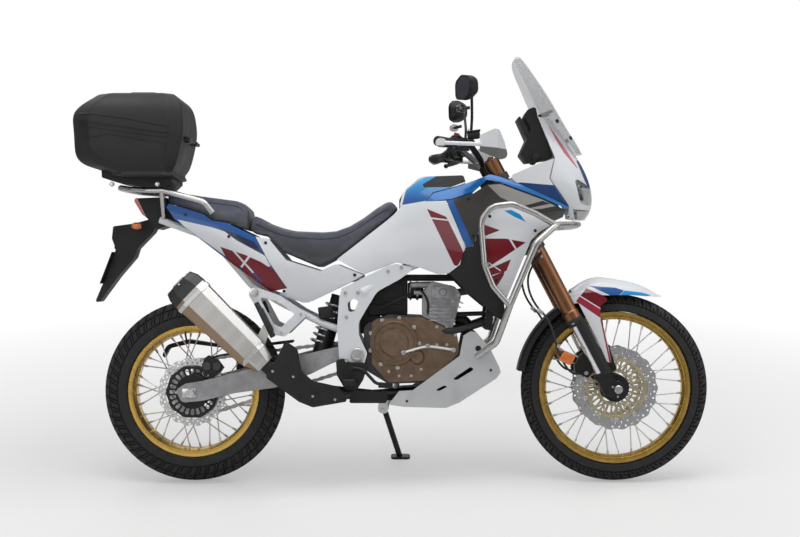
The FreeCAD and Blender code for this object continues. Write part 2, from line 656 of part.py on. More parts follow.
HANGER_SIDE = 150
SPAR = [(372, 20, 925), (330, 62, 905), (150, 96, 850), (-70, 122, 760), (-155, 150, 700)]


def main_frame():
    """Head tube, two spars, pivot plates and the front loop that carries the nose."""
    low, high = LOWER_YOKE + YOKE_DEEP + sz.free_gap, UPPER_YOKE - sz.free_gap
    head = at_fork(slab("head_tube", [circle(0, 0, sz.head_tube_radius), circle(0, 0, sz.stem_radius + sz.running_gap)],
                        low, high, PLAN))
    parts = [head]
    for side in (-1, 1):
        hand = "right" if side < 0 else "left"
        parts.append(tube(f"spar_{hand}", [(x, side * y, z) for x, y, z in SPAR], "frame_tube_radius", 120))
    plates = slab("pivot_plate", [[(-230, 716, 10), (-190, 735, 10), (-140, 761, 30), (-60, 799, 30), (-30, 806, 10), (38, 790, 10),
                                   (-20, 748, 60), (-100, 705, 60), (-140, 640, 60), (-168, 590, 40), (-166, 545, 30),
                                   (-136, 480, 24), (-150, 432, 20), (-236, 436, 20), (-246, 570, 30), (-238, 680, 40)],
                                  [(-205, 628, 10), (-182, 634, 10), (-168, 670, 8), (-188, 680, 10), (-208, 662, 10)],
                                  circle(-sz.pivot_back, sz.pivot_height, sz.pivot_radius + sz.running_gap)],
                  "plate_side", "plate_side + 10")
    cross = rod("cross_high", (-190, -146, 700), (-190, 146, 700), 14)
    gusset = slab("head_gusset", [[(402, 908), (384, 950, 8), (330, 928, 10), (300, 896, 8), (352, 884, 8)]], -26, 26)
    whole = fuse("frame", *parts, plates, mirrored(plates), cross, gusset)
    bore = at_fork(rod("head_bore", (0, 0, 0), (0, 0, 1200), sz.stem_radius + sz.running_gap))
    return cut("frame", whole, bore)


def subframe():
    items = []
    for side in (-1, 1):
        hand = "right" if side < 0 else "left"
        items.append(tube(f"seat_rail_{hand}", [(-150, side * 96, 752), (-300, side * 96, 752), (-560, side * 96, 845),
                                                (-900, side * 88, 968)], "subframe_radius", 150))
        items.append(tube(f"stay_{hand}", [(-222, side * 118, 560), (-300, side * 116, 588), (-450, side * 110, 662),
                                           (-560, side * 94, 726), (-690, side * 90, 878)], "subframe_radius", 80))
        items.append(rod(f"stay_boss_{hand}", (-222, side * 100, 560), (-222, side * (sz.plate_side - 0.4), 560), 15))
        boss = rod(f"hanger_boss_{hand}", (-450, side * 110, 664), (-450, side * HANGER_SIDE, 672), 11)
        items.append(boss)
    for i, (x, z) in enumerate(((-330, 760), (-560, 845))):
        items.append(rod(f"seat_cross{i + 1}", (x, -92, z), (x, 92, z), 11))
    hangers = slab("hanger", [[(-572, 700, 20), (-545, 722, 20), (-452, 690, 12), (-366, 632, 12), (-362, 612, 8), (-436, 540, 14),
                               (-478, 548, 12), (-500, 575, 12)],
                              [(-530, 686, 6), (-458, 668, 6), (-400, 622, 6), (-450, 574, 8), (-478, 588, 8)]],
                   f"{HANGER_SIDE} - 8", HANGER_SIDE)
    return node("subframe", fuse("subframe", *items, *pair(hangers)))


def engine():
    block = slab("crankcase", [[(-150, 420, 30), (-150, 580, 30), (-60, 620, 20), (60, 615), (190, 560, 30),
                                (205, 470, 40), (120, 372, 30), (-60, 366, 30)]], -108, 82)
    node("engine_block", block)
    head = slab("head_profile", [[(66, 612.9, 4), (66, 700, 20), (100, 742, 16), (186, 722, 20), (208, 690, 20),
                                  (175.04, 566.4, 10)]], -112, 112)
    node("cylinder_head", head)
    clutch = fuse("clutch", rod("clutch_ring", (-40, -108.3, 520), (-40, -138, 520), 86),
                  rod("clutch_cap", (-40, -136, 520), (-40, -150, 520), 48))
    side = slab("cover_right", [[(-60, 372, 20), (100, 380, 30), (200, 480, 30), (192, 552, 30), (60, 612, 30),
                                 (-120, 606, 30), (-120, 440, 30)]], -122, -108.3)
    stator = fuse("stator", rod("stator_ring", (70, 82.3, 490), (70, 140, 490), 72),
                  rod("stator_cap", (70, 138, 490), (70, 146, 490), 40))
    drive = slab("sprocket_cover", [[(-138, 420, 20), (-138, 545, 20), (-18, 545, 20), (-18, 420, 20)]], 113, 120)
    drive_post = rod("sprocket_cover_post", (-30, 82.3, 440), (-30, 115, 440), 6)
    node("engine_covers", fuse("covers_right", clutch, side), fuse("covers_left", stator, fuse("drive", drive, drive_post)))


def radiators():
    """A cooler across the front of the engine, on two stays from the cylinder head."""
    core = slab("radiator_core", [[(290, 566, 6), (318, 562, 6), (334, 716, 6), (306, 718, 6)]], -134, 134)
    window = slab("radiator_window", [[(280, 582), (304, 580), (318, 700), (294, 702)]], -108, 108)
    stays = [rod(f"radiator_stay{side + 2}", (190.9, side * 88, 618), (316, side * 88, 622), 6) for side in (-1, 1)]
    node("radiators", fuse("radiator", cut("radiator", core, window), *stays))


def skid_plate():
    """A bent sheet guard under the engine with two slots in each cheek."""
    outline = [(-60, 292), (0, 284), (150, 280), (200, 300), (335, 388), (350, 410), (344, 432), (310, 500), (262, 556),
               (240, 560), (215, 545), (200, 470), (30, 345), (-20, 342)]
    inner = [(-80, 300), (0, 289), (150, 285), (198, 306), (329, 392), (343, 411), (338, 429), (304, 497), (258, 550),
             (240, 580), (200, 580), (-80, 400)]
    outside = slab("skid_outside", [outline], -140, 140)
    inside = slab("skid_inside", [inner], -136, 136)
    slots = [across("skid_slot_low", [(108, 343, 3), (128, 343, 3), (162, 361, 3), (141, 361, 3)]),
             across("skid_slot_high", [(170, 383, 4), (192, 383, 4), (254, 421, 4), (240, 430, 4)])]
    return node("skid_plate", cut("skid", outside, inside, *slots))


def foot_controls():
    """The rider's peg on each side with its hanger, the brake pedal on the right and the gear lever on the left."""
    inner = sz.plate_side + 10 + sz.running_gap
    outline = [(-250, 456, 12), (-222, 462, 12), (-200, 448, 20), (-150, 448, 14), (-136, 430, 14), (-150, 385, 20),
               (-172, 350, 18), (-214, 346, 18), (-246, 400, 20)]
    items = []
    for side, hand in ((-1, "right"), (1, "left")):
        low, high = (inner, inner + 10) if side > 0 else (-inner - 10, -inner)
        hanger = slab(f"peg_hanger_{hand}", [outline], low, high)
        peg = slab(f"peg_{hand}", [[(-222, side * (inner + 6)), (-222, side * 250, 8), (-178, side * 250, 8),
                                    (-178, side * (inner + 6))]], 368, 384, PLAN)
        pivot = rod(f"lever_pivot_{hand}", (-196, side * (inner + 5), 430), (-196, side * (inner + 26), 430), 11)
        if side < 0:
            lever = tube(f"lever_{hand}_foot", [(-196, -inner - 18, 430), (-150, -inner - 18, 422), (-104, -inner - 22, 372),
                                                (-46, -inner - 22, 368)], 6, 30)
            pad = slab("brake_pad", [[(-96, 358, 3), (-44, 356, 3), (-42, 372, 3), (-94, 376, 3)]],
                       -inner - 44, -inner - 12)
        else:
            lever = tube(f"lever_{hand}_foot", [(-196, inner + 18, 430), (-150, inner + 18, 412), (-60, inner + 22, 396),
                                                (-30, inner + 22, 398)], 6, 30)
            pad = rod("gear_toe", (-34, inner + 12, 398), (-34, inner + 50, 398), 9)
        items.append(fuse(f"foot_{hand}", hanger, peg, pivot, lever, pad))
    node("foot_controls", *items)


def swingarm():
    """Two arms joined ahead of the tyre, with axle ends and a pivot shaft."""
    outline = [(-836, 345, 14), (-800, 368, 14), (-740, 378, 30), (-620, 408, 60), (-375, 472, 60), (-250, 502, 30),
               (-150, 500, 20), (-146, 452, 20), (-250, 450, 40), (-340, 405, 60), (-470, 355, 60), (-620, 334, 60),
               (-740, 306, 30), (-812, 300, 20)]
    slot = circle(REAR_AXLE.x, REAR_AXLE.z, sz.axle_radius + 0.02)
    shaft = circle(PIVOT.x, PIVOT.z, sz.pivot_radius + sz.running_gap)
    arm = slab("arm", [outline, slot, shaft], "arm_inner", "arm_outer")
    bridge = slab("arm_bridge", [[(-240, 452, 10), (-240, 498, 20), (-375, 462, 20), (-402, 430, 20), (-370, 395, 20)]],
                  "-arm_inner - 4", "chain_side - chain_width / 2 - 3")
    web = slab("arm_web", [[(-240, 455, 6), (-240, 470, 6), (-300, 452, 6), (-300, 436, 6)]], 60, "arm_inner + 2")
    end = sz.plate_side + 14
    shaft_rod = rod("pivot_shaft", (PIVOT.x, -end, PIVOT.z), (PIVOT.x, end, PIVOT.z), "pivot_radius")
    node("swingarm", fuse("swingarm", arm, mirrored(arm), bridge, web), shaft_rod)
    tip = sz.arm_outer + 16
    axle = turned("rear_axle_rod", [[(-tip, sz.axle_bore), (-tip, 15, 2), (-sz.arm_outer - sz.running_gap, 15),
                                     (-sz.arm_outer - sz.running_gap, sz.axle_radius), (tip, sz.axle_radius, 2),
                                     (tip, sz.axle_bore)]])
    node("rear_axle", placed(axle, *REAR_AXLE))


def chain_run():
    """Pitch-line polygon of the chain: two arcs and two straight runs, one corner for each pin."""
    small, large = sz.drive_radius, sz.sprocket_radius
    front = Vector(-sz.drive_back, 0, sz.drive_height)
    span = front - REAR_AXLE
    slope = math.atan2(span.z, span.x)
    reach = span.Length
    dip = math.asin((large - small) / reach)
    top, bottom = slope + math.pi / 2 - dip, slope - math.pi / 2 + dip
    straight = reach * math.cos(dip)
    wrap_small = small * (math.pi - 2 * dip)
    wrap_large = large * (math.pi + 2 * dip)
    total = 2 * straight + wrap_small + wrap_large
    count = 2 * round(total / 15.875 / 2)
    points = []
    for i in range(count):
        at = total * i / count
        if at < straight:
            start = REAR_AXLE + Vector(math.cos(top), 0, math.sin(top)) * large
            points.append(start + Vector(math.cos(slope - dip), 0, math.sin(slope - dip)) * at)
        elif at < straight + wrap_small:
            turn = top - (at - straight) / small
            points.append(front + Vector(math.cos(turn), 0, math.sin(turn)) * small)
        elif at < 2 * straight + wrap_small:
            start = front + Vector(math.cos(bottom), 0, math.sin(bottom)) * small
            along = at - straight - wrap_small
            points.append(start - Vector(math.cos(slope + dip), 0, math.sin(slope + dip)) * along)
        else:
            turn = bottom - (at - 2 * straight - wrap_small) / large
            points.append(REAR_AXLE + Vector(math.cos(turn), 0, math.sin(turn)) * large)
    return points


def chain_band(points, half):
    """The chain's edge, waisted between pins, half millimetres either side of the pitch line."""
    count = len(points)
    outer, inner = [], []
    for i, here in enumerate(points):
        ahead = points[(i + 1) % count] - points[i - 1]
        normal = Vector(-ahead.z, 0, ahead.x).normalize()
        reach = half if i % 2 else half - 2.5
        outer.append((here.x + normal.x * reach, here.z + normal.z * reach))
        inner.append((here.x - normal.x * reach, here.z - normal.z * reach))
    return outer, inner


def chain():
    """Link plates either side of the sprockets as waisted bands, and the rollers between them."""
    pins = chain_run()
    outer, inner = chain_band(pins, sz.chain_height / 2)
    half, gap = sz.chain_width / 2, 4.2
    bands = [slab("chain_left", [outer, inner], "chain_side + 4.2", "chain_side + chain_width / 2"),
             slab("chain_right", [outer, inner], "chain_side - chain_width / 2", "chain_side - 4.2")]
    teeth = 16
    points = []
    for i in range(teeth):
        for step, reach in ((0.0, -6), (0.3, 4), (0.5, 4)):
            turn = 2 * math.pi * (i + step) / teeth
            points.append(((sz.drive_radius + reach) * math.cos(turn), (sz.drive_radius + reach) * math.sin(turn)))
    plate = slab("drive_plate", [points], "chain_side - 3.5", "chain_side + 3.5")
    boss = slab("drive_boss", [circle(0, 0, 16)], 82.3, "chain_side + 12")
    drive = placed(fuse("drive_sprocket", plate, boss), -sz.drive_back, 0, sz.drive_height)
    node("chain", *bands, drive)


def rear_parts():
    """Chain guard, damper, rear caliper, foot controls and the stays they hang on."""
    guard = slab("guard_top", [[(-920, 452, 10), (-900, 500, 30), (-820, 520, 40), (-700, 502, 40), (-520, 506, 30),
                                (-420, 518, 4), (-420, 508, 4), (-520, 496, 30), (-700, 490, 40), (-810, 504, 30),
                                (-890, 486, 20), (-908, 452, 4)]], "chain_side - 14", "arm_outer - 2")
    foot = slab("guard_foot", [[(-640, 403.3), (-640, 498, 4), (-610, 500, 4), (-600, 413.6), (-620, 408.4)]], 120, 134)
    node("chain_guard", fuse("chain_guard", guard, foot))
    low, high = Vector(-330, 0, 402), Vector(-250, 0, 690)
    damper = rod("damper_body", low + (high - low) * 0.4, high, 22)
    shaft = rod("damper_rod", low, high, 8)
    coil = rod("damper_spring", low + (high - low) * 0.12, low + (high - low) * 0.8, 34)
    node("rear_shock", cut("rear_shock", fuse("rear_shock", damper, shaft, coil),
                           slab("shock_room", [[(-420, 340), (-420, 450.4), (-200, 509.1), (-200, 440)]], -60, 60)))
    radius = sz.rear_disc_radius
    shape = [polar(radius - 38, 34, 8), polar(radius + 18, 36, 12), polar(radius + 18, 70, 12), polar(radius - 38, 68, 8)]
    outer = slab("rear_caliper_outer", [shape], "-arm_inner + 1", "-rear_disc_side - 4")
    inner = slab("rear_caliper_inner", [shape], "-rear_disc_side + 4", -72)
    bridge = slab("rear_caliper_bridge", [[polar(radius + 7, 38), polar(radius + 18, 36, 4), polar(radius + 23, 52, 30),
                                           polar(radius + 18, 68, 4), polar(radius + 7, 66), polar(radius + 10, 52, 60)]],
                  "-arm_inner + 1", -72)
    for item in (outer, inner, bridge):
        placed(item, *REAR_AXLE)
    node("rear_caliper", fuse("rear_caliper", outer, inner, bridge))


def body_row(x, low, high, half, widest, shoulder, inset):
    """One cross-section of the bodywork: a smooth ring, widest at the given height, with broad or narrow shoulders."""
    low, high, half = low + inset, high - inset, half - inset
    right = [(0, low), (0.6 * half, low + 0.04 * (widest - low)), (0.9 * half, low + 0.45 * (widest - low)),
             (half, widest), (0.88 * half, widest + 0.52 * (high - widest)), (shoulder * half, high - 0.1 * (high - widest)),
             (0, high)]
    return smooth_ring([(x, -y, z) for y, z in right] + [(x, y, z) for y, z in right[-2:0:-1]])


# Bodywork cross-sections: X, lowest, highest, half width, height where it is widest, shoulder's share of the half width
BODY_ROWS = [(-1010, 990, 1062, 62, 1025, 0.55), (-900, 900, 1088, 110, 1005, 0.55), (-750, 815, 1076, 140, 950, 0.55),
             (-600, 740, 1050, 152, 890, 0.55), (-450, 640, 1000, 158, 830, 0.6), (-300, 630, 960, 160, 800, 0.6),
             (-160, 630, 985, 146, 810, 0.6), (-40, 620, 1056, 146, 880, 0.55), (60, 600, 1132, 178, 925, 0.52),
             (160, 560, 1148, 212, 925, 0.56), (260, 520, 1146, 230, 920, 0.72), (360, 520, 1136, 226, 930, 0.76),
             (460, 600, 1112, 204, 960, 0.78), (560, 760, 1090, 160, 985, 0.78), (650, 880, 1060, 100, 1000, 0.7)]


def body_form(name, inset):
    return loft(name, [body_row(*row, inset) for row in BODY_ROWS])


def across(name, outline, half=300):
    """A side outline as a block right across the bike."""
    return slab(name, [outline], f"-{half}", half)


def bodywork():
    outside = body_form("body_outside", 0)
    inside = body_form("body_inside", sz.panel_wall)
    room = rod("steering_room", fork_point(200, 0), fork_point(1100, 0), 162)
    shell = cut("body_shell", outside, inside, room)
    tank_line = [(-246, 822), (-60, 968), (-20, 1003), (-20, 1040), (0, 1080, 20), (60, 1127, 40), (214, 1129, 10),
                 (222, 1100), (200, 1091), (102, 1065), (76, 1032), (150, 1034), (218, 868), (198, 802), (160, 772),
                 (130, 767), (60, 792), (-30, 812), (-150, 768)]
    tunnel = slab("tank_tunnel", [[(-300, 600), (-300, 800), (-100, 800), (150, 905), (420, 1010), (420, 600)]], -128, 128)
    node("fuel_tank", cut("fuel_tank", common("fuel_tank", outside, across("tank_block", tank_line)), tunnel))
    node("side_panels", common("side_panels", shell, across("side_panel_block", [
        (-543, 905), (-492, 810), (-428, 717), (-458, 694), (-370, 663), (-350, 665), (-190, 742), (-150, 765),
        (-245, 804), (-255, 803), (-306, 780), (-430, 819), (-495, 897)])))
    node("tail_panels", common("tail_panels", shell, across("tail_block", [
        (-872, 1012), (-864, 1026.6), (-735, 987.6), (-700, 962.6), (-650, 955.6), (-545, 906), (-494, 809), (-430, 716),
        (-490, 704), (-622, 800), (-805, 942), (-840, 968)])))
    node("side_cowls", common("side_cowls", shell, across("side_cowl_block", [
        (170, 1037), (250, 1061), (298, 1092), (345, 1096), (500, 1041), (588, 1001), (575, 975), (545, 962), (385, 1018),
        (350, 1022), (300, 1003), (287, 985), (275, 950), (247, 872), (222, 866), (152, 1034)])))
    node("upper_cowls", common("upper_cowls", shell, across("upper_cowl_block", [
        (80, 1032), (104, 1062), (200, 1088), (310, 1130), (345, 1121), (400, 1102), (602, 1013), (592, 1006), (500, 1045),
        (350, 1100), (296, 1110), (248, 1066), (168, 1040)])))
    node("lower_cowls", common("lower_cowls", shell, across("lower_cowl_block", [
        (302, 1000), (350, 1019), (385, 1015), (543, 959), (480, 915), (455, 890), (360, 670), (330, 720), (290, 770),
        (285, 940), (289, 983)])))
    inner = [common("inner_cowls", shell, across("inner_cowl_block", [
        (200, 800), (220, 864), (248, 870), (274, 944), (284, 938), (288, 769), (328, 718), (358, 668), (368, 596),
        (345, 604), (230, 700), (162, 768)]))]
    node("rider_seat", common("rider_seat", outside, across("seat_block", [
        (-563, 985, 10), (-500, 951, 60), (-450, 933, 80), (-400, 921, 80), (-300, 917, 80), (-250, 921, 60),
        (-200, 940, 60), (-150, 970, 40), (-100, 1008, 40), (-52, 1038, 10), (-24, 1010), (-62, 972), (-190, 870),
        (-252, 822), (-310, 792), (-440, 847), (-500, 906), (-544, 914), (-563, 930)])))
    node("pillion_seat", common("pillion_seat", outside, across("pillion_block", [
        (-876, 1070, 8), (-750, 1050, 60), (-600, 1030, 10), (-569, 1003, 10), (-569, 925), (-650, 956), (-700, 963),
        (-735, 988), (-864, 1027)])))
    node("inner_cowls", *inner, slab("tail_body_block", [[(-985, 1048, 6), (-880, 1052, 6), (-868, 1006, 10), (-700, 950, 10),
                                                 (-560, 900), (-560, 860), (-700, 905, 20), (-860, 950, 10), (-915, 932, 10),
                                                 (-950, 975, 6)]], -74.5, 74.5))


def slice_ring(z, front, back, half):
    """A level cross-section of the nose: rounded in front, square behind."""
    right = [(back, 0), (back, 0.8 * half), (back + 0.2 * (front - back), half),
             (front - 0.45 * (front - back), 0.95 * half), (front - 0.12 * (front - back), 0.6 * half), (front, 0)]
    return smooth_ring([(x, -y, z) for x, y in right] + [(x, y, z) for x, y in right[-2:0:-1]])


# Nose slices: height, front, back, half width
NOSE_ROWS = [(966, 668, 560, 70), (1030, 697, 520, 104), (1110, 686, 480, 126), (1180, 654, 450, 122), (1250, 608, 440, 110),
             (1310, 568, 430, 98), (1348, 540, 430, 90)]


def nose():
    outside = loft("nose_outside", [slice_ring(z, f, b, h) for z, f, b, h in NOSE_ROWS])
    wall = sz.panel_wall
    inside = loft("nose_inside", [slice_ring(z, f - wall, b + wall, h - wall) for z, f, b, h in NOSE_ROWS])
    shell = cut("nose_shell", outside, inside)
    lamp = across("lamp_block", [(622, 1122, 8), (698, 1082), (700, 1028), (672, 1020, 10), (646, 1032, 10)])
    low = across("low_lamp_block", [(619, 1006), (690, 1002), (690, 968), (630, 968)])
    mask = across("nose_block", [(490, 1346), (530, 1346), (700, 1200), (710, 1010), (672, 966), (608, 974), (603, 1010),
                                 (532, 1118), (550, 1195)])
    lamp_room = across("lamp_room", [(621.4, 1122.5, 8), (710, 1076.2), (710, 1030.4), (672.1, 1019.6, 10), (645.6, 1031.7, 10)])
    low_room = across("low_lamp_room", [(618.5, 1006.4), (710, 1001.3), (710, 955), (632, 955)])
    flank_plan = [(600, -117), (560, -125), (530, -134), (460, -158), (405, -171.5), (374, -176), (374, -172),
                  (405, -167.5), (460, -154), (530, -130), (560, -121), (600, -113)]
    flank_block = across("flank_block", [(380, 1124, 10), (480, 1168), (546, 1191), (528, 1118), (592, 1018.5), (405, 1100.2, 6)])
    flank = common("nose_flank", slab("flank_plan", [flank_plan], 980, 1200, PLAN), flank_block)
    node("nose_cowl", common("nose_cowl", cut("nose_open", shell, lamp_room, low_room), mask), *pair(flank))
    node("headlights", common("headlights", outside, lamp), common("low_lamp", outside, low))
    dash = slab("dash_block", [[(482, 1386, 10), (452, 1373, 10), (440, 1350, 10), (466, 1300, 20), (426, 1212, 10),
                                (450, 1182, 10), (548, 1196, 10), (490, 1345, 10)]], -84, 84)
    stays = [rod(f"screen_stay{side + 2}", (495, side * 60, 1350), (545.5, side * 60, 1371), 6) for side in (-1, 1)]
    node("dash", dash, *stays)


def crescent(z, front, side, half, wall):
    """A level slice of the screen: a shallow bow with a thin wall."""
    outer = Part.Arc(Vector(side, -half, z), Vector(front, 0, z), Vector(side, half, z)).toShape()
    inner = Part.Arc(Vector(side, half - wall, z), Vector(front - wall, 0, z), Vector(side, wall - half, z)).toShape()
    ends = [Part.LineSegment(Vector(side, half, z), Vector(side, half - wall, z)).toShape(),
            Part.LineSegment(Vector(side, wall - half, z), Vector(side, -half, z)).toShape()]
    return Part.Wire([outer, ends[0], inner, ends[1]])


def windscreen():
    rows = [(1212, 662, 636, 60), (1260, 636, 588, 96), (1310, 604, 530, 122), (1400, 552, 470, 130), (1500, 487, 425, 112),
            (1560, 444, 405, 70), (1574, 432, 415, 36)]
    node("windscreen", loft("screen", [crescent(z, f, s, h, 4) for z, f, s, h in rows]))


def crash_bars():
    """One hoop from the engine's right side round the nose to its left, and a smaller loop on each side."""
    half = [(262, 151.9, 470), (330, 190, 520), (358, 218, 600), (378, 235, 660), (470, 246, 880), (545, 210, 945),
            (618, 130, 948), (630, 90, 948)]
    hoop = tube("bar_hoop", [(x, -y, z) for x, y, z in half] + half[::-1], "crash_bar_radius", 50)
    loops = []
    for side in (-1, 1):
        hand = "right" if side < 0 else "left"
        loops.append(tube(f"bar_loop_{hand}", [(545, side * 209, 945), (470, side * 234, 985), (385, side * 252, 1020),
                                               (310, side * 256, 1010), (272, side * 256, 960), (285, side * 256, 800),
                                               (315, side * 250, 725), (376, side * 234, 656)],
                          "crash_bar_radius - 1.5", 50))
    return node("crash_bars", fuse("crash_bars", hoop, *loops))


def exhaust():
    """Headers under the engine, a heat cover and a high silencer on the right."""
    start, end = Vector(-505, -196, 440), Vector(-806, -196, 728)
    run = (end - start).normalize()
    link = tube("link_pipe", [(40, -60, 330), (-120, -100, 322), (-300, -150, 345), start - run * 90,
                              start - run * sz.running_gap], 22, 60)
    collector = slab("collector", [[(-204, 298, 8), (-66, 298, 8), (-62, 336, 8), (-190, 346, 8)]], -142, -58)
    headers = []
    for side in (-1, 1):
        run_out = [(40, -45, 326)] if side < 0 else [(60, 45, 326), (-60, -72, 326)]
        headers.append(tube(f"header{side + 2}", [(189.5, side * 45, 600), (230, side * 45, 596), (237, side * 45, 520),
                                                  (234, side * 45, 400), (190, side * 45, 336)] + run_out, 19, 60))
    node("exhaust_headers", fuse("exhaust", link, collector, *headers))
    rows = []
    level = Rotation(Vector(0, 0, 1), run)
    for at, wide, tall in ((0, 30, 36), (70, 45, 58), (372, 50, 70)):
        outline = [(-tall, -wide * 0.5, 10), (-tall, wide * 0.5, 10), (-tall * 0.5, wide, 12), (tall * 0.5, wide, 12),
                   (tall, wide * 0.5, 10), (tall, -wide * 0.5, 10), (tall * 0.5, -wide, 12), (-tall * 0.5, -wide, 12)]
        rows.append(flat_wire(outline, Placement(start + run * at, level)))
    tab = slab("silencer_tab", [[(-545, 520, 8), (-512, 590, 8), (-488, 572, 8), (-510, 505, 8)]],
               f"-{HANGER_SIDE} - 10", f"-{HANGER_SIDE} - running_gap")
    can = fuse("silencer", loft("silencer_can", rows, ruled=True), tab)
    ends = []
    for at, wide, tall in ((372.3, 51, 71), (404, 49, 68), (428, 40, 58)):
        outline = [(-tall, -wide * 0.5, 10), (-tall, wide * 0.5, 10), (-tall * 0.5, wide, 12), (tall * 0.5, wide, 12),
                   (tall, wide * 0.5, 10), (tall, -wide * 0.5, 10), (tall * 0.5, -wide, 12), (-tall * 0.5, -wide, 12)]
        ends.append(flat_wire(outline, Placement(start + run * at, level)))
    mouth = rod("silencer_mouth", start + run * 396, start + run * 440, 24)
    node("silencer", can, cut("silencer_end", loft("silencer_end", ends, ruled=True), mouth))
    cover = slab("heat_cover_plate", [[(-500, 398, 10), (-442, 500, 20), (-430, 530, 10), (-385, 500, 20), (-370, 420, 40),
                                 (-330, 385, 30), (-240, 365, 20), (-200, 312, 10), (-330, 290, 20), (-380, 310, 20)]],
                 -232, -224)
    standoff = rod("heat_cover_standoff", (-472, -218.4, 409), (-472, -225, 409), 8)
    return node("heat_cover", fuse("heat_cover", cover, standoff))


# Top case levels: height, rear end, front end, half width
CASE_ROWS = [(1120, -972, -852, 192), (1138, -1070, -841, 209), (1160, -1150, -830, 222), (1186, -1184, -820, 232),
             (1236, -1195, -808, 240), (1300, -1199, -799, 243), (1352, -1195, -803, 240), (1388, -1160, -811, 228),
             (1410, -1128, -824, 210), (1424, -1084, -852, 180), (1432, -1010, -905, 130)]
HINGE_LINE = Vector(-788, 0, 1259)


def case_ring(z, back, front, half):
    """A level cross-section of the top case: a rounded rectangle with its ends drawn in at the corners."""
    length = front - back
    broad, mean, tight = 0.1 * length, 0.07 * length, 0.05 * length
    corners = [(back, -half * 0.8, mean), (back + 0.16 * length, -half, broad), (front - 0.12 * length, -half, mean),
               (front, -half * 0.84, tight), (front, half * 0.84, tight), (front - 0.12 * length, half, mean),
               (back + 0.16 * length, half, broad), (back, half * 0.8, mean)]
    return flat_wire(corners, Placement(Vector(0, 0, z), Rotation()))


def hinge_half(name, outline, side, near):
    """A knuckle on the case's hinge line with the leaf that joins it to the shell."""
    far = near + 40
    knuckle = rod(name + "_knuckle", HINGE_LINE + Vector(0, side * near, 0), HINGE_LINE + Vector(0, side * far, 0), 7)
    leaf = slab(name + "_leaf", [outline], min(side * near, side * far), max(side * near, side * far))
    return [knuckle, leaf]


def top_case():
    """Hollow moulded tub with a domed lid, hinged in front."""
    bottom, top = CASE_ROWS[0][0], CASE_ROWS[-1][0]
    middle, wall = (bottom + top) / 2, sz.case_wall
    squeeze = 1 - 2 * wall / (top - bottom)
    outside = loft("case_outside", [case_ring(*row) for row in CASE_ROWS])
    inside = loft("case_inside", [case_ring(middle + (z - middle) * squeeze, back + wall, front - wall, half - wall)
                                  for z, back, front, half in CASE_ROWS])
    shell = cut("case_walls", outside, inside)
    back, front = -sz.case_rear - 20, -sz.case_front + 20
    gap = sz.running_gap
    high = [(back, sz.case_seam_rear + gap), (front, sz.case_seam_front + gap), (front, top + 20), (back, top + 20)]
    low = [(back, sz.case_seam_rear - gap), (front, sz.case_seam_front - gap), (front, bottom - 20), (back, bottom - 20)]
    pin = rod("hinge_pin", (HINGE_LINE.x, -150, HINGE_LINE.z), (HINGE_LINE.x, 150, HINGE_LINE.z), 3)
    bore = rod("hinge_bore", (HINGE_LINE.x, -160, HINGE_LINE.z), (HINGE_LINE.x, 160, HINGE_LINE.z), f"3 + {gap}")
    low_leaf = [(-810, 1250), (-788, 1250), (-788, 1256), (-810, 1256)]
    high_leaf = [(-808, 1265.6), (-794, 1265.6), (-794, 1262), (-788, 1262), (-788, 1269), (-808, 1269)]
    tub_hinge = hinge_half("tub_right", low_leaf, -1, 60) + hinge_half("tub_left", low_leaf, 1, 60)
    lid_hinge = hinge_half("lid_right", high_leaf, -1, 102) + hinge_half("lid_left", high_leaf, 1, 102)
    tub = common("case_tub", shell, across("case_low_block", low))
    lid = common("case_lid", shell, across("case_high_block", high))
    node("case_tub", fuse("case_tub", tub, pin, *tub_hinge))
    node("case_lid", cut("case_lid", fuse("case_lid", lid, *lid_hinge), bore))
    plate = slab("case_plate_side", [[(-1104, 1160), (-1102, 1120, 6), (-1060, 1106, 10), (-950, 1085, 10), (-870, 1085, 10),
                                      (-848, 1105, 6), (-848, 1118), (-900, 1140)]], -150, 150)
    node("case_plate", placed(cut("case_plate", plate, outside), z=-gap))


def carrier_rack():
    """A hoop of tube round the case's plate, on two stays."""
    half = [(-698, 158, 990), (-730, 160, 1030), (-880, 146, 1073), (-940, 140, 1073), (-1000, 120, 1077),
            (-1050, 60, 1086)]
    hoop = tube("rack_hoop", [(x, -y, z) for x, y, z in half] + half[::-1], "rack_tube_radius", 40)
    stays = [rod(f"rack_stay{side + 2}", (-885, side * 146, 1071), (-885, side * 95.5, 977.3), 9) for side in (-1, 1)]
    return node("rear_carrier", fuse("carrier", hoop, *stays))


def tail():
    node("tail_lamp", slab("tail_lamp_body", [[(-1003, 1046, 10), (-986.5, 1049), (-952, 976), (-968, 988, 8)]], -70, 70))
    hanger = slab("plate_hanger", [[(-1080, 945, 6), (-1000, 956, 20), (-946.8, 970.4), (-922.3, 940.3), (-932, 922, 6), (-990, 862, 10), (-1000, 830, 20),
                                    (-1060, 760, 20), (-1130, 665, 6), (-1147, 664, 6), (-1118, 733, 20), (-1070, 860, 20),
                                    (-1085, 900, 20)]], -42, 42)
    blank = slab("number_plate", [[(-1075, 849), (-1119.4, 733), (-1122.2, 734), (-1077.8, 850)]], -85, 85)
    node("plate_holder", hanger, blank)


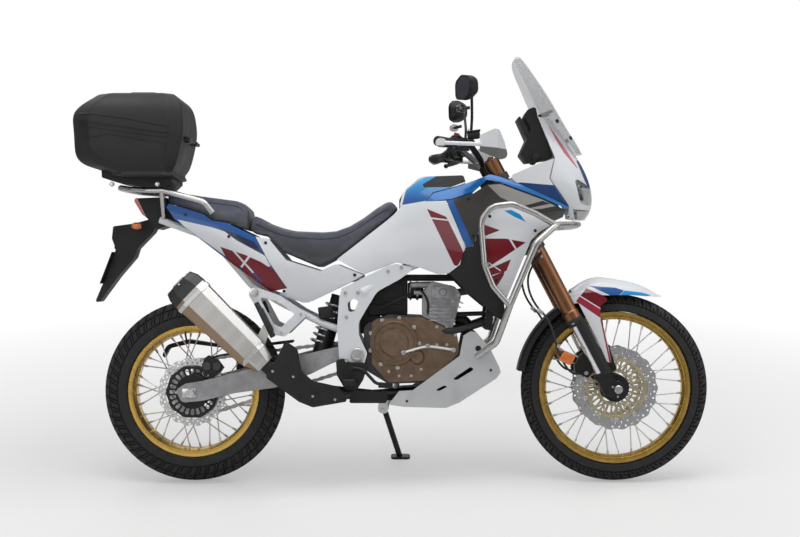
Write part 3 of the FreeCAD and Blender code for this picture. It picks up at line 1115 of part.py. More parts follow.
def side_stand():
    """A leg swung down to the left, with a flat foot that lies on the ground when the bike leans."""
    forward, side, height = sz.stand_pivot_forward, sz.stand_pivot_side, sz.stand_pivot_height
    tilt = math.tan(math.radians(sz.lean_angle))
    ground = -sz.ground_drop / math.cos(math.radians(sz.lean_angle))
    foot_forward, foot_side = forward + sz.stand_foot_forward, sz.stand_foot_side
    foot_height = foot_side * tilt + ground
    pivot, foot = Vector(forward, side, height), Vector(foot_forward, foot_side, foot_height)
    floor = Rotation(Vector(1, 0, 0), sz.lean_angle)
    pad = slab("stand_pad", [[(-34, -24, 16), (40, -24, 16), (40, 24, 16), (-34, 24, 16)]], 0, 9, PLAN)
    pad.Placement = Placement(foot, floor)
    leg_end = foot + floor.multVec(Vector(0, 0, 6))
    along = (leg_end - pivot).normalize()
    hinge = pivot_axis()
    neck = rod("stand_neck", pivot + along * 12, pivot + along * 40, 8.5)
    leg = rod("stand_leg_bar", pivot + along * 34, leg_end, "stand_leg_radius")
    eye = rod("stand_eye", pivot - hinge * 9, pivot + hinge * 9, 20)
    bore = rod("stand_bore", pivot - hinge * 30, pivot + hinge * 30, "axle_radius - 4 + running_gap")
    node("side_stand", cut("side_stand", fuse("side_stand", pad, leg, neck, eye), bore))
    out = Vector(0, -0.59, 0.81)
    out = (out - hinge * out.dot(hinge)).normalize()
    turn = Rotation(out, Vector(), hinge, "ZXY")
    wall = 9 + sz.running_gap
    outline = [(-20, -20, 16), (50, -15, 4), (50, 15, 4), (-20, 20, 16)]
    ears = [placed(slab("stand_ear_top", [outline], wall, wall + 8, PLAN), *pivot, turn),
            placed(slab("stand_ear_low", [outline], -wall - 8, -wall, PLAN), *pivot, turn)]
    bridge = placed(slab("stand_bridge", [[(28, -15), (50, -15, 4), (50, 15, 4), (28, 15)]], -wall - 4, wall + 4, PLAN),
                    *pivot, turn)
    bolt = rod("stand_bolt", pivot - hinge * 24, pivot + hinge * 24, "axle_radius - 4")
    arm = tube("stand_arm", [pivot + out * 40, pivot + out * 74, (-30, 70, 335), (-30, 70, 366.3)], 11, 30)
    return fuse("stand_bracket", bolt, *ears, bridge, arm)


def pivot_axis():
    """The stand's hinge axis: square to the leg, and tilted so that the leg folds back and up."""
    pivot = Vector(sz.stand_pivot_forward, sz.stand_pivot_side, sz.stand_pivot_height)
    foot = Vector(sz.stand_pivot_forward + sz.stand_foot_forward, sz.stand_foot_side, 50)
    stowed = Vector(-0.985, 0.17, -0.03)
    return (foot - pivot).cross(stowed).normalize()


front_wheel()
rear_wheel()
fork()
calipers()
front_fender()
handlebar()
pods()
hand_guards()
frame = main_frame()
subframe()
engine()
radiators()
skid_plate()
foot_controls()
swingarm()
chain()
rear_parts()
bodywork()
nose()
windscreen()
crash_bars()
exhaust()
top_case()
carrier_rack()
tail()
node("main_frame", frame, side_stand())

doc.recompute()

LEAN = Placement(Vector(-sz.origin_back, -sz.origin_left, sz.ground_drop), Rotation(Vector(1, 0, 0), -sz.lean_angle))
for label, whole in nodes.items():
    whole.Placement = LEAN.multiply(whole.Placement)
doc.recompute()

failed = [item.Name for item in doc.Objects if {"Invalid", "Error"} & set(item.State)]
if failed:
    raise RuntimeError(f"failed features: {failed}")
for label, whole in nodes.items():
    if whole.Shape.isNull() or not whole.Shape.isValid() or not whole.Shape.Solids:
        raise RuntimeError(f"bad shape: {label}")
for label, whole in nodes.items():
    whole.Shape.exportStep(f"parts/{label}.step")
    print(f"{label}: {len(whole.Shape.Solids)} solids, {whole.Shape.Volume / 1000:.0f} cm3")
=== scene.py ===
"""Dresses a packed adventure motorcycle with its finishes, tyres, seats, lamps and small parts.

Pieces are drawn upright in the bike's own frame, in millimetres: X forward, Y to the rider's left,
Z up, with the ground at Z = 0 and X = 0 midway between the axles. UPRIGHT_TO_ROW leans them onto
the side stand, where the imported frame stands.
"""

import json
import math
import sys

import bmesh
import bpy
from mathutils import Matrix, Vector
from mathutils.bvhtree import BVHTree
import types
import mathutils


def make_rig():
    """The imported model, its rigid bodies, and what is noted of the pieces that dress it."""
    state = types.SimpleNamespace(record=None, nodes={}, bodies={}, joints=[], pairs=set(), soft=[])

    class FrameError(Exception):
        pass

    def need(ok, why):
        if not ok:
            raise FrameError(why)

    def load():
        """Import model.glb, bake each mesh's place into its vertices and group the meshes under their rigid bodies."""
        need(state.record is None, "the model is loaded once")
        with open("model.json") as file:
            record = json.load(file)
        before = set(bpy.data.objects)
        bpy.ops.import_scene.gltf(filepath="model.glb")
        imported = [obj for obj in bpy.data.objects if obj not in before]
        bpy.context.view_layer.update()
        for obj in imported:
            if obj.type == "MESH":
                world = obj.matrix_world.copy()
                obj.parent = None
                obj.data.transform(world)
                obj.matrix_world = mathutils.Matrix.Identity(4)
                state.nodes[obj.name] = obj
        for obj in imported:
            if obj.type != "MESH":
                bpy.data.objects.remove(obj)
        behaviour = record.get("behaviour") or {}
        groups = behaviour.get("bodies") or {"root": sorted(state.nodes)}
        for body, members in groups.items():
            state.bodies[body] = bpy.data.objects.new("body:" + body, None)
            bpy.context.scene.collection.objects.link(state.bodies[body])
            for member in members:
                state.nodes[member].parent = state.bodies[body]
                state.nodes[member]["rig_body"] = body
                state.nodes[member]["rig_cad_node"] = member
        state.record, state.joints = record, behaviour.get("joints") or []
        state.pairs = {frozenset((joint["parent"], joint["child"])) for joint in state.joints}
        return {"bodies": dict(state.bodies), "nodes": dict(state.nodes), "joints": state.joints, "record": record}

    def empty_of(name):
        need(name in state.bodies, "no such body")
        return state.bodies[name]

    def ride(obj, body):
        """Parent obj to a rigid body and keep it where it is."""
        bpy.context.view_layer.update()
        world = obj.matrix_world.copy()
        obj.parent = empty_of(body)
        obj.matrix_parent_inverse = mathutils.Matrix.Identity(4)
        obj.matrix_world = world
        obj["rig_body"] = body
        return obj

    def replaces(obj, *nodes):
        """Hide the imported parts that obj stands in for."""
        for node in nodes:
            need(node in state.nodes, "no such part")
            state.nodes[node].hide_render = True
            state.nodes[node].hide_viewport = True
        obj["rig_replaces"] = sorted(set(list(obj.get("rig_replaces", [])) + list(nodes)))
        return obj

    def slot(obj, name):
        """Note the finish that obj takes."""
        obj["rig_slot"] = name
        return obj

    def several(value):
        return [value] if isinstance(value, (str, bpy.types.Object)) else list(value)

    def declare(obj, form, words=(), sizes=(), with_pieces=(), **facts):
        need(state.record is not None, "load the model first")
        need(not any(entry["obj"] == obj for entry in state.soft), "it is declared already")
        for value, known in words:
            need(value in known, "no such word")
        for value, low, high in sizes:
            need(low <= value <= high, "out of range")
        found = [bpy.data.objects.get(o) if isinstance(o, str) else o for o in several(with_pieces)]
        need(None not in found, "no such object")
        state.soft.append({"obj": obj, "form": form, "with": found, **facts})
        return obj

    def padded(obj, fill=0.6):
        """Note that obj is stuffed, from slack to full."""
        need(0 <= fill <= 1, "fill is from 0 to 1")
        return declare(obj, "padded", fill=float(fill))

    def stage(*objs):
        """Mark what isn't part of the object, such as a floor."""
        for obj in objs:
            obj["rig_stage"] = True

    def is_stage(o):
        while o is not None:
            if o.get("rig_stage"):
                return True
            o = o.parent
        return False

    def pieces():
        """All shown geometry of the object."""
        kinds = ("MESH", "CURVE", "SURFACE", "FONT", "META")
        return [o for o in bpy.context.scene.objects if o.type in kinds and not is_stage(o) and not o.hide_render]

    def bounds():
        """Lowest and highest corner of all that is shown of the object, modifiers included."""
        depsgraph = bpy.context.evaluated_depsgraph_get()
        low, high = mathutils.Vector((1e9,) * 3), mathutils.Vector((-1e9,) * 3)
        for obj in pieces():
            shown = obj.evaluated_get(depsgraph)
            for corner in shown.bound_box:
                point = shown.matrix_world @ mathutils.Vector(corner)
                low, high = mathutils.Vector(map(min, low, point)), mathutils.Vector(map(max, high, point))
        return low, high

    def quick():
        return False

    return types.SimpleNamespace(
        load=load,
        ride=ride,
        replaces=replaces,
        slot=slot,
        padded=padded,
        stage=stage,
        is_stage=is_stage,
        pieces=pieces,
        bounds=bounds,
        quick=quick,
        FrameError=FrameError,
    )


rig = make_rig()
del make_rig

bl_info = {
    "name": "Adventure motorcycle",
    "version": (1, 0, 0),
    "blender": (4, 5, 0),
    "location": "View3D > Sidebar > Motorcycle",
    "description": "Builds the finished look of a motorcycle round its packed frame",
    "category": "Add Mesh",
}

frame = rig.load()
NODES = frame["nodes"]
CAD_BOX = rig.bounds()

LEAN = math.radians(10)
UPRIGHT_TO_ROW = (Matrix.Translation((0.034, -0.230, 0.00114)) @ Matrix.Rotation(-LEAN, 4, "X")
                  @ Matrix.Scale(0.001, 4))
ROW_TO_UPRIGHT = UPRIGHT_TO_ROW.inverted()

RAKE = math.radians(27.5)
FRONT_AXLE = Vector((780.08, 0, 347.0))
REAR_AXLE = Vector((-780, 0, 335))
FORK_UP = Vector((-math.sin(RAKE), 0, math.cos(RAKE)))
FORK_AHEAD = Vector((math.cos(RAKE), 0, math.sin(RAKE)))
AXIS_FOOT = FRONT_AXLE - FORK_AHEAD * 60
# How far out the rear rim's painted rings of highlight and shade are shifted, in millimetres
RIM_STEP = 38
SPOKES = 36
CLUTCH = (-38, 517)
FILTER = (45, 465)
CASES = ("engine_covers", "engine_block")
SILENCER_FOOT = Vector((-505, -196, 440))
SILENCER_WAY = Vector((-301, 0, 288)).normalized()
SILENCER_UP = Vector((0.6913, 0, 0.7225))
SIDES = (-1, 1)
HANDS = {-1: "right", 1: "left"}


def fork_point(along, ahead, side=0.0):
    """A point given along the steering axis from the axle's level, ahead of it, and to the left."""
    return AXIS_FOOT + FORK_UP * along + FORK_AHEAD * ahead + Vector((0, side, 0))


def number(name, description, default, low, high):
    """A count that the panel shows."""
    return bpy.props.IntProperty(name=name, description=description, default=default, min=low, max=high)


def measure(name, description, default, low, high, unit="NONE"):
    """A size or power that the panel shows."""
    return bpy.props.FloatProperty(name=name, description=description, default=default, min=low, max=high,
                                   unit=unit)


# Shader arithmetic

class Wire:
    """A node's socket that takes part in plain arithmetic."""

    def __init__(self, recipe, socket):
        self.recipe, self.socket = recipe, socket

    def math(self, operation, *others):
        return self.recipe.node("ShaderNodeMath", {"operation": operation}, self, *others)

    def __add__(self, other):
        return self.math("ADD", other)

    def __sub__(self, other):
        return self.math("SUBTRACT", other)

    def __mul__(self, other):
        return self.math("MULTIPLY", other)

    def __rsub__(self, other):
        return self.recipe.node("ShaderNodeMath", {"operation": "SUBTRACT"}, other, self)

    __radd__ = __add__
    __rmul__ = __mul__

    def clamped(self):
        return self.recipe.node("ShaderNodeClamp", {}, self)

    def ramp(self, low, high, at_low=0.0, at_high=1.0):
        """Runs straight from at_low to at_high between two values, and stays there outside them."""
        return self.recipe.node("ShaderNodeMapRange", {"clamp": True}, self, low, high, at_low, at_high)


class Recipe:
    """One material's node tree, with the bike's own upright millimetres as coordinates."""

    def __init__(self, name):
        self.material = bpy.data.materials.new(name)
        self.material.use_nodes = True
        self.tree = self.material.node_tree
        self.tree.nodes.clear()
        self.seat = self.split = None

    def node(self, kind, settings, *values, out=0, **named):
        """Makes a node: its settings first, then its sockets by place or by name, a value or a wire each."""
        made = self.tree.nodes.new(kind)
        for key, value in settings.items():
            setattr(made, key, value)
        places = list(enumerate(values)) + [(key.replace("_", " "), value) for key, value in named.items()]
        for place, value in places:
            if isinstance(value, Wire):
                self.tree.links.new(value.socket, made.inputs[place])
            else:
                made.inputs[place].default_value = value
        return Wire(self, made.outputs[out]) if len(made.outputs) else None

    def bike(self):
        """The point's place on the upright bike, in millimetres."""
        if self.seat is None:
            point = self.node("ShaderNodeTexCoord", {}, out="Object")
            self.seat = self.node("ShaderNodeMapping", {"vector_type": "POINT"}, point,
                                  ROW_TO_UPRIGHT.translation, (LEAN, 0, 0), (1000, 1000, 1000))
        return self.seat

    def axes(self):
        if self.split is None:
            self.split = [self.node("ShaderNodeSeparateXYZ", {}, self.bike(), out=i) for i in range(3)]
        return self.split

    def reach_from(self, centre):
        """How far the point is from an axle, seen from the side, in millimetres."""
        x, _, z = self.axes()
        flat = self.node("ShaderNodeCombineXYZ", {}, x - centre.x, 0.0, z - centre.z)
        return self.node("ShaderNodeVectorMath", {"operation": "LENGTH"}, flat, out="Value")

    def noise(self, size, detail=3.0, rough=0.5, stretch=(1, 1, 1)):
        """Cloudy noise from 0 to 1 whose features measure about size millimetres."""
        place = self.bike()
        if stretch != (1, 1, 1):
            place = self.node("ShaderNodeMapping", {"vector_type": "POINT"}, place, Scale=stretch)
        return self.node("ShaderNodeTexNoise", {}, place, Scale=1 / size, Detail=detail, Roughness=rough)

    def cells(self, size, feature="F1", randomness=1.0):
        return self.node("ShaderNodeTexVoronoi", {"feature": feature}, self.bike(), Scale=1 / size,
                         Randomness=randomness)

    def blend(self, amount, first, second):
        """A colour between two colours."""
        mix = self.tree.nodes.new("ShaderNodeMix")
        mix.data_type = "RGBA"
        for place, value in ((0, amount), (6, first), (7, second)):
            if isinstance(value, Wire):
                self.tree.links.new(value.socket, mix.inputs[place])
            else:
                mix.inputs[place].default_value = value if place == 0 else (*value, 1)
        return Wire(self, mix.outputs[2])

    def bump(self, height, depth, strength=1.0):
        """A normal from a height of 0 to 1 that stands for depth millimetres."""
        return self.node("ShaderNodeBump", {}, Height=height, Distance=depth / 1000, Strength=strength)

    def inside(self, outline, soft=0.8):
        """1 inside a convex outline of (X, Z) points seen from the side, 0 outside it."""
        x, _, z = self.axes()
        turn = sum(a[0] * b[1] - b[0] * a[1] for a, b in zip(outline, outline[1:] + outline[:1]))
        nearest = None
        for a, b in zip(outline, outline[1:] + outline[:1]):
            run, rise = b[0] - a[0], b[1] - a[1]
            scale = math.copysign(1 / math.hypot(run, rise), turn)
            kx, kz = -rise * scale, run * scale
            gap = z.math("MULTIPLY_ADD", kz, x.math("MULTIPLY_ADD", kx, -(a[0] * kx + a[1] * kz)))
            nearest = gap if nearest is None else nearest.math("MINIMUM", gap)
        return nearest.ramp(-soft / 2, soft / 2)

    def any_of(self, *outlines):
        """1 inside any of several convex outlines."""
        whole = self.inside(outlines[0])
        for outline in outlines[1:]:
            whole = whole.math("MAXIMUM", self.inside(outline))
        return whole

    def surface(self, colour, rough, metal=0.0, normal=None, **more):
        """The finished surface; what varies is wired, and what doesn't is set on the shader itself."""
        named = {"Base_Color": colour if isinstance(colour, Wire) else (*colour, 1), "Roughness": rough,
                 "Metallic": metal, **more}
        if normal is not None:
            named["Normal"] = normal
        shader = self.node("ShaderNodeBsdfPrincipled", {}, **named)
        self.node("ShaderNodeOutputMaterial", {}, shader)
        return self.material


# Finishes

WHITE = (0.76, 0.78, 0.81)
ROYAL = (0.001, 0.085, 0.33)
NAVY = (0.005, 0.012, 0.06)
SKY = (0.003, 0.27, 0.62)
CRIMSON = (0.17, 0.001, 0.009)
ROSE = (0.55, 0.16, 0.19)
SPINE_BLACK = (0.008, 0.009, 0.016)
MADE = {}


def finish(maker, name=None):
    """Makes each finish once, under its maker's name."""
    name = name or maker.__name__

    def ready():
        if name not in MADE:
            MADE[name] = maker(Recipe(name))
        return MADE[name]
    return ready


def plain(name, method, *details, **more):
    """A finish that is one method with its settings."""
    return finish(lambda recipe: method(recipe, *details, **more), name)


def lacquer(recipe, colour, rough=0.32, metal=0.0):
    """Paint under clear lacquer, with the faint waviness of a sprayed surface and a little dust."""
    peel = recipe.bump(recipe.noise(7, 2), 0.02)
    dust = recipe.noise(60, 4).ramp(0.45, 0.75, rough, rough + 0.08)
    return recipe.surface(colour, dust, metal, peel, Specular_IOR_Level=0.3, Coat_Weight=0.45,
                          Coat_Roughness=0.04)


def moulded(recipe, colour, grain=1.1, depth=0.12, rough=0.55):
    """Textured plastic: a fine leather grain, dulled unevenly by handling."""
    pebble = recipe.cells(grain, "SMOOTH_F1")
    shade = recipe.noise(90, 3).ramp(0.3, 0.7, rough - 0.07, rough + 0.08)
    worn = [c * 1.6 + 0.004 for c in colour]
    tint = recipe.blend(recipe.noise(45, 4).ramp(0.35, 0.8, 0, 0.35), colour, worn)
    return recipe.surface(tint, shade, 0.0, recipe.bump(pebble, depth), Specular_IOR_Level=0.35)


def cast(recipe, colour, rough=0.5, metal=0.75, grit=0.9, depth=0.09):
    """Sand-cast or blasted metal, a little darker in its hollows."""
    stain = recipe.noise(38, 5).ramp(0.35, 0.75)
    tint = recipe.blend(stain, [c * 0.72 for c in colour], colour)
    return recipe.surface(tint, recipe.noise(14, 3).ramp(0.3, 0.7, rough - 0.1, rough + 0.1), metal,
                          recipe.bump(recipe.noise(grit, 3), depth))


def brushed(recipe, colour, rough=0.3, stretch=(0.05, 1, 1), metal=1.0):
    """Metal with fine lines along one of the bike's axes."""
    lines = recipe.noise(0.7, 2, 0.6, stretch)
    patch = recipe.noise(70, 3).ramp(0.3, 0.7, -0.05, 0.06)
    tint = recipe.blend(lines.ramp(0.3, 0.7), [c * 0.86 for c in colour], colour)
    return recipe.surface(tint, lines.ramp(0.25, 0.75, rough - 0.06, rough + 0.08) + patch, metal,
                          recipe.bump(lines, 0.02))


def polished(recipe, colour, cloud, low, high, ripple=0.0, depth=0.02, metal=1.0, **more):
    """A smooth surface whose roughness drifts from low to high in clouds of (size, detail)."""
    if len(colour) == 2:
        colour = recipe.blend(recipe.noise(80, 3), *colour)
    wave = recipe.bump(recipe.noise(ripple, 2), depth) if ripple else None
    return recipe.surface(colour, recipe.noise(*cloud).ramp(0.3, 0.7, low, high), metal, wave, **more)


def glassy(recipe, colour, rough, ripple, depth, alpha, coat, coat_rough):
    """A clear sheet, seen through as far as alpha lets it."""
    return recipe.surface(colour, rough, 0.0, recipe.bump(recipe.noise(ripple, 2), depth), Alpha=alpha,
                          Coat_Weight=coat, Coat_Roughness=coat_rough)


def ribbed_lens(recipe, size, deep, pale, rough, depth):
    """A coloured lamp cover with small facets moulded into it."""
    ribs = recipe.cells(size, "F1", 0.2)
    return recipe.surface(recipe.blend(ribs, deep, pale), rough, 0.0, recipe.bump(ribs, depth),
                          Coat_Weight=1.0, Coat_Roughness=0.03)


gloss_white = plain("gloss_white", lacquer, WHITE)
royal_blue = plain("royal_blue", lacquer, (0.002, 0.135, 0.42), 0.28, 0.15)
brushed_steel = plain("brushed_steel", brushed, (0.62, 0.62, 0.62))
satin_plate = plain("satin_plate", brushed, (0.66, 0.67, 0.68), 0.4, (0.3, 1, 1), 0.9)
cast_grey = plain("cast_grey", cast, (0.40, 0.40, 0.41))
cast_dark = plain("cast_dark", cast, (0.085, 0.085, 0.09), 0.45, 0.5)
bronze_paint = plain("bronze_paint", cast, (0.25, 0.17, 0.115), 0.38, 0.8, 1.4, 0.05)
satin_black = plain("satin_black", cast, (0.012, 0.012, 0.013), 0.42, 0.25, 1.2, 0.04)
black_plastic = plain("black_plastic", moulded, (0.009, 0.009, 0.010))
case_plastic = plain("case_plastic", moulded, (0.017, 0.017, 0.018), 1.5, 0.16, 0.52)
red_knob = plain("red_knob", moulded, (0.42, 0.02, 0.02), 1.5, 0.05, 0.4)
pale_gold = plain("pale_gold", polished, (0.60, 0.52, 0.34), (25, 3), 0.3, 0.4, 20)
copper_anodised = plain("copper_anodised", polished, ((0.22, 0.10, 0.05), (0.28, 0.135, 0.07)), (20, 3), 0.26,
                        0.36, 2, 0.015)
bright_chrome = plain("bright_chrome", polished, (0.72, 0.73, 0.75), (50, 3), 0.05, 0.12)
stainless_tube = plain("stainless_tube", polished, (0.46, 0.455, 0.44), (30, 4), 0.2, 0.32, 2.5)
mirror_glass = plain("mirror_glass", polished, (0.75, 0.77, 0.8), (80, 2), 0.015, 0.04)
dark_glass = plain("dark_glass", polished, (0.006, 0.007, 0.009), (60, 3), 0.06, 0.12, metal=0.0,
                   Coat_Weight=1.0, Coat_Roughness=0.02)
smoke_screen = plain("smoke_screen", glassy, (0.32, 0.33, 0.35), 0.06, 120, 0.2, 0.34, 0.6, 0.03)
clear_lens = plain("clear_lens", glassy, (0.06, 0.065, 0.07), 0.05, 9, 0.05, 0.5, 1.0, 0.02)
red_lens = plain("red_lens", ribbed_lens, 6, (0.42, 0.012, 0.014), (0.62, 0.03, 0.03), 0.12, 0.6)
orange_lens = plain("orange_lens", ribbed_lens, 5, (0.62, 0.13, 0.01), (0.78, 0.22, 0.02), 0.14, 0.5)


@finish
def gold_anodised(recipe):
    """Gold with painted rings of highlight and shade round each axle, standing in for the light on the rim's lips and
    the shade in its channel.
    """
    front = recipe.reach_from(FRONT_AXLE)
    rear = recipe.reach_from(REAR_AXLE) + RIM_STEP
    # Painted highlight and shade: bands by radius, lighter for the rim's lit lips and darker for its shaded channel
    steps = (front.math("MINIMUM", rear) * 0.28).math("SINE").ramp(-1, 1)
    patch = recipe.noise(25, 3).ramp(0.3, 0.7, 0.22, 0.32)
    tint = recipe.blend(steps, (0.50, 0.30, 0.06), (0.70, 0.46, 0.13))
    return recipe.surface(tint, patch, 1.0, recipe.bump(recipe.noise(20, 2), 0.02))


@finish
def disc_steel(recipe):
    """Steel ground in rings round the front axle."""
    reach = recipe.reach_from(FRONT_AXLE)
    rings = recipe.node("ShaderNodeTexNoise", {"noise_dimensions": "1D"}, W=reach * 1.1, Detail=2.0)
    colour = recipe.blend(rings.ramp(0.3, 0.7), (0.50, 0.50, 0.50), (0.64, 0.64, 0.64))
    return recipe.surface(colour, rings.ramp(0.25, 0.75, 0.26, 0.38), 1.0, recipe.bump(rings, 0.02))


@finish
def silencer_steel(recipe):
    """Brushed along its length, with a tan lower facet and a black end cap."""
    x, y, z = recipe.axes()
    along = (x - SILENCER_FOOT.x) * SILENCER_WAY.x + (z - SILENCER_FOOT.z) * SILENCER_WAY.z
    under = ((x - SILENCER_FOOT.x) * -SILENCER_UP.x + (z - SILENCER_FOOT.z) * -SILENCER_UP.z).ramp(29, 30)
    place = recipe.node("ShaderNodeCombineXYZ", {}, along * 0.04, under, y)
    lines = recipe.node("ShaderNodeTexNoise", {}, place, Scale=0.8, Detail=2.0)
    tint = recipe.blend(lines.ramp(0.3, 0.7), (0.50, 0.49, 0.47), (0.60, 0.59, 0.57))
    tint = recipe.blend(under, tint, (0.33, 0.235, 0.16))
    cap = along.ramp(371.6, 372.2)
    tint = recipe.blend(cap, tint, (0.022, 0.022, 0.024))
    return recipe.surface(tint, lines.ramp(0.25, 0.75, 0.3, 0.42), cap.ramp(0, 1, 1, 0.2),
                          recipe.bump(lines, 0.02))


@finish
def soft_rubber(recipe):
    tint = recipe.blend(recipe.noise(30, 4), (0.014, 0.014, 0.015), (0.028, 0.028, 0.028))
    return recipe.surface(tint, recipe.noise(12, 3).ramp(0.3, 0.7, 0.6, 0.8), 0.0,
                          recipe.bump(recipe.noise(1.2, 2), 0.05))


@finish
def tyre_rubber(recipe):
    dust = recipe.noise(40, 5).ramp(0.5, 0.8)
    tint = recipe.blend(dust * 0.5, (0.009, 0.009, 0.0095), (0.030, 0.029, 0.028))
    return recipe.surface(tint, recipe.noise(9, 3).ramp(0.3, 0.7, 0.66, 0.82), 0.0,
                          recipe.bump(recipe.noise(0.9, 2), 0.06))


@finish
def seat_vinyl(recipe):
    """Grained seat cover: charcoal sides under a navy-tinted top."""
    faced = recipe.node("ShaderNodeNewGeometry", {}, out="Normal")
    up = recipe.node("ShaderNodeSeparateXYZ", {}, faced, out=2).ramp(0.35, 0.75)
    wear = recipe.noise(55, 4).ramp(0.4, 0.75, 0, 0.3)
    tint = recipe.blend(up, (0.017, 0.018, 0.021), (0.015, 0.020, 0.048))
    tint = recipe.blend(wear, tint, (0.055, 0.058, 0.075))
    return recipe.surface(tint, recipe.noise(30, 3).ramp(0.3, 0.7, 0.5, 0.62), 0.0,
                          recipe.bump(recipe.cells(1.3, "SMOOTH_F1"), 0.16), Sheen_Weight=0.15,
                          Sheen_Roughness=0.5)


@finish
def reflector_bowl(recipe):
    facets = recipe.cells(9, "F1", 0.3)
    return recipe.surface((0.78, 0.79, 0.8), facets.ramp(0, 1, 0.08, 0.2), 1.0, recipe.bump(facets, 0.8))


# Painted panels: their stripes follow the bike's side view

@finish
def tank_paint(recipe):
    """White sides with a red flash, a blue panel outlined in white, a dark cap and a dark spine."""
    _, y, z = recipe.axes()
    flash = recipe.inside([(80, 1005), (150, 975), (215, 840), (190, 798), (178, 800)])
    line = recipe.inside([(92, 974), (165, 964), (165, 959), (92, 968)])
    colour = recipe.blend(flash * (1 - line), WHITE, CRIMSON)
    spine = recipe.any_of([(-64, 966), (-22, 1001), (-14, 1020), (-90, 1080)],
                          [(-14, 1020), (-2, 1083), (-60, 1130), (-90, 1040)],
                          [(-2, 1083), (56, 1132), (40, 1170), (-60, 1120)],
                          [(56, 1132), (122, 1146), (210, 1141), (210, 1180), (40, 1170)])
    outline = recipe.any_of([(-18, 1018), (-8, 1020), (5, 1079), (-4, 1084)],
                            [(-4, 1084), (5, 1079), (61, 1125), (55, 1133)],
                            [(55, 1133), (61, 1125), (124, 1139), (122, 1147)])
    panel = recipe.any_of([(-9, 1021), (5, 1079), (61, 1126), (66, 1096), (72, 1044)],
                          [(61, 1126), (123, 1140), (130, 1134), (66, 1096)],
                          [(-9, 1021), (66, 1084), (168, 1084), (172, 1074), (76, 1034)])
    cap = recipe.inside([(68, 1084), (66, 1097), (130, 1135), (205, 1142), (242, 1112), (168, 1084)])
    top = y.math("ABSOLUTE").ramp(74, 75, 1, 0) * z.ramp(985, 986)
    fade = recipe.blend(z.ramp(1040, 1105), ROYAL, SKY)
    for area, tint in ((spine, SPINE_BLACK), (outline, WHITE), (panel, fade),
                       (cap, (0.014, 0.014, 0.016)), (top, SPINE_BLACK)):
        colour = recipe.blend(area, colour, tint)
    dull = (spine + cap).clamped()
    return recipe.surface(colour, dull.ramp(0, 1, 0.3, 0.6), 0.0, recipe.bump(recipe.noise(7, 2), 0.02),
                          Specular_IOR_Level=0.3, Coat_Weight=dull.ramp(0, 1, 0.45, 0.0), Coat_Roughness=0.05)


@finish
def tail_paint(recipe):
    """Blue over white, a red lower wing crossed by thin white lines."""
    white = recipe.inside([(-830, 968), (-700, 938), (-600, 905), (-470, 805), (-560, 770), (-622, 810),
                           (-805, 942)])
    deep = recipe.inside([(-740, 960), (-700, 952), (-548, 886), (-480, 800), (-515, 820), (-610, 890)])
    red = recipe.inside([(-672, 868), (-580, 838), (-485, 795), (-425, 715), (-495, 700), (-640, 805)])
    lines = recipe.any_of([(-640, 868), (-634, 870), (-520, 742), (-526, 738)],
                          [(-560, 846), (-553, 842), (-600, 782), (-607, 786)],
                          [(-545, 836), (-430, 760), (-430, 752), (-549, 829)])
    colour = recipe.blend(white, ROYAL, WHITE)
    colour = recipe.blend(deep, colour, NAVY)
    colour = recipe.blend(red * (1 - lines), colour, CRIMSON)
    return lacquer(recipe, colour, 0.3)


@finish
def cowl_graphite(recipe):
    """Dark metallic side cowl with a silver wedge, vent lines and a blue edge towards the tank."""
    wedge = recipe.inside([(300, 1090), (345, 1094), (500, 1038), (565, 1008), (440, 1002), (345, 1046)])
    slots = recipe.any_of([(392, 1004), (500, 1034), (530, 1024), (410, 998)],
                          [(452, 996), (560, 1018), (590, 1004), (480, 985)])
    leg = recipe.inside([(150, 1036), (172, 1038), (246, 874), (222, 862)])
    colour = recipe.blend(recipe.cells(0.9).ramp(0.1, 0.6), (0.016, 0.014, 0.013), (0.036, 0.032, 0.030))
    colour = recipe.blend(wedge, colour, (0.28, 0.27, 0.255))
    colour = recipe.blend(slots, colour, (0.006, 0.006, 0.006))
    colour = recipe.blend(leg, colour, ROYAL)
    return recipe.surface(colour, recipe.noise(60, 4).ramp(0.3, 0.7, 0.34, 0.46), 0.1,
                          recipe.bump(recipe.noise(7, 2), 0.02), Specular_IOR_Level=0.3, Coat_Weight=0.2,
                          Coat_Roughness=0.1)


@finish
def lower_cowl_paint(recipe):
    """White with red arrows and a sky-blue flash."""
    red = recipe.any_of([(285, 946), (342, 926), (287, 905)],
                        [(290, 896), (362, 896), (440, 882), (345, 822), (300, 792), (286, 860)],
                        [(300, 786), (382, 822), (366, 780), (303, 762)],
                        [(308, 758), (360, 780), (355, 762), (330, 722)])
    lines = recipe.any_of([(372, 897), (380, 897), (408, 850), (400, 852)],
                          [(300, 812), (300, 808), (345, 778), (345, 783)])
    flash = recipe.inside([(348, 996), (384, 1000), (416, 984), (442, 948), (424, 956), (392, 976)])
    colour = recipe.blend(red * (1 - lines), WHITE, CRIMSON)
    return lacquer(recipe, recipe.blend(flash, colour, SKY))


@finish
def nose_paint(recipe):
    """White with a blue lower flank, a rose flash up the side and a blue tip."""
    flank = recipe.inside([(405, 1102), (420, 1101), (530, 1120), (602, 1020), (602, 985), (500, 1030)])
    flash = recipe.inside([(530, 1316), (548, 1300), (600, 1218), (640, 1160), (634, 1158), (586, 1212),
                           (556, 1262)])
    tip = recipe.any_of([(634, 1186), (656, 1196), (690, 1100), (664, 1112)],
                        [(664, 1112), (690, 1100), (696, 1070), (684, 1076)])
    colour = recipe.blend(flank, WHITE, (0.002, 0.045, 0.17))
    colour = recipe.blend(flash, colour, ROSE)
    return lacquer(recipe, recipe.blend(tip, colour, (0.003, 0.04, 0.17)))


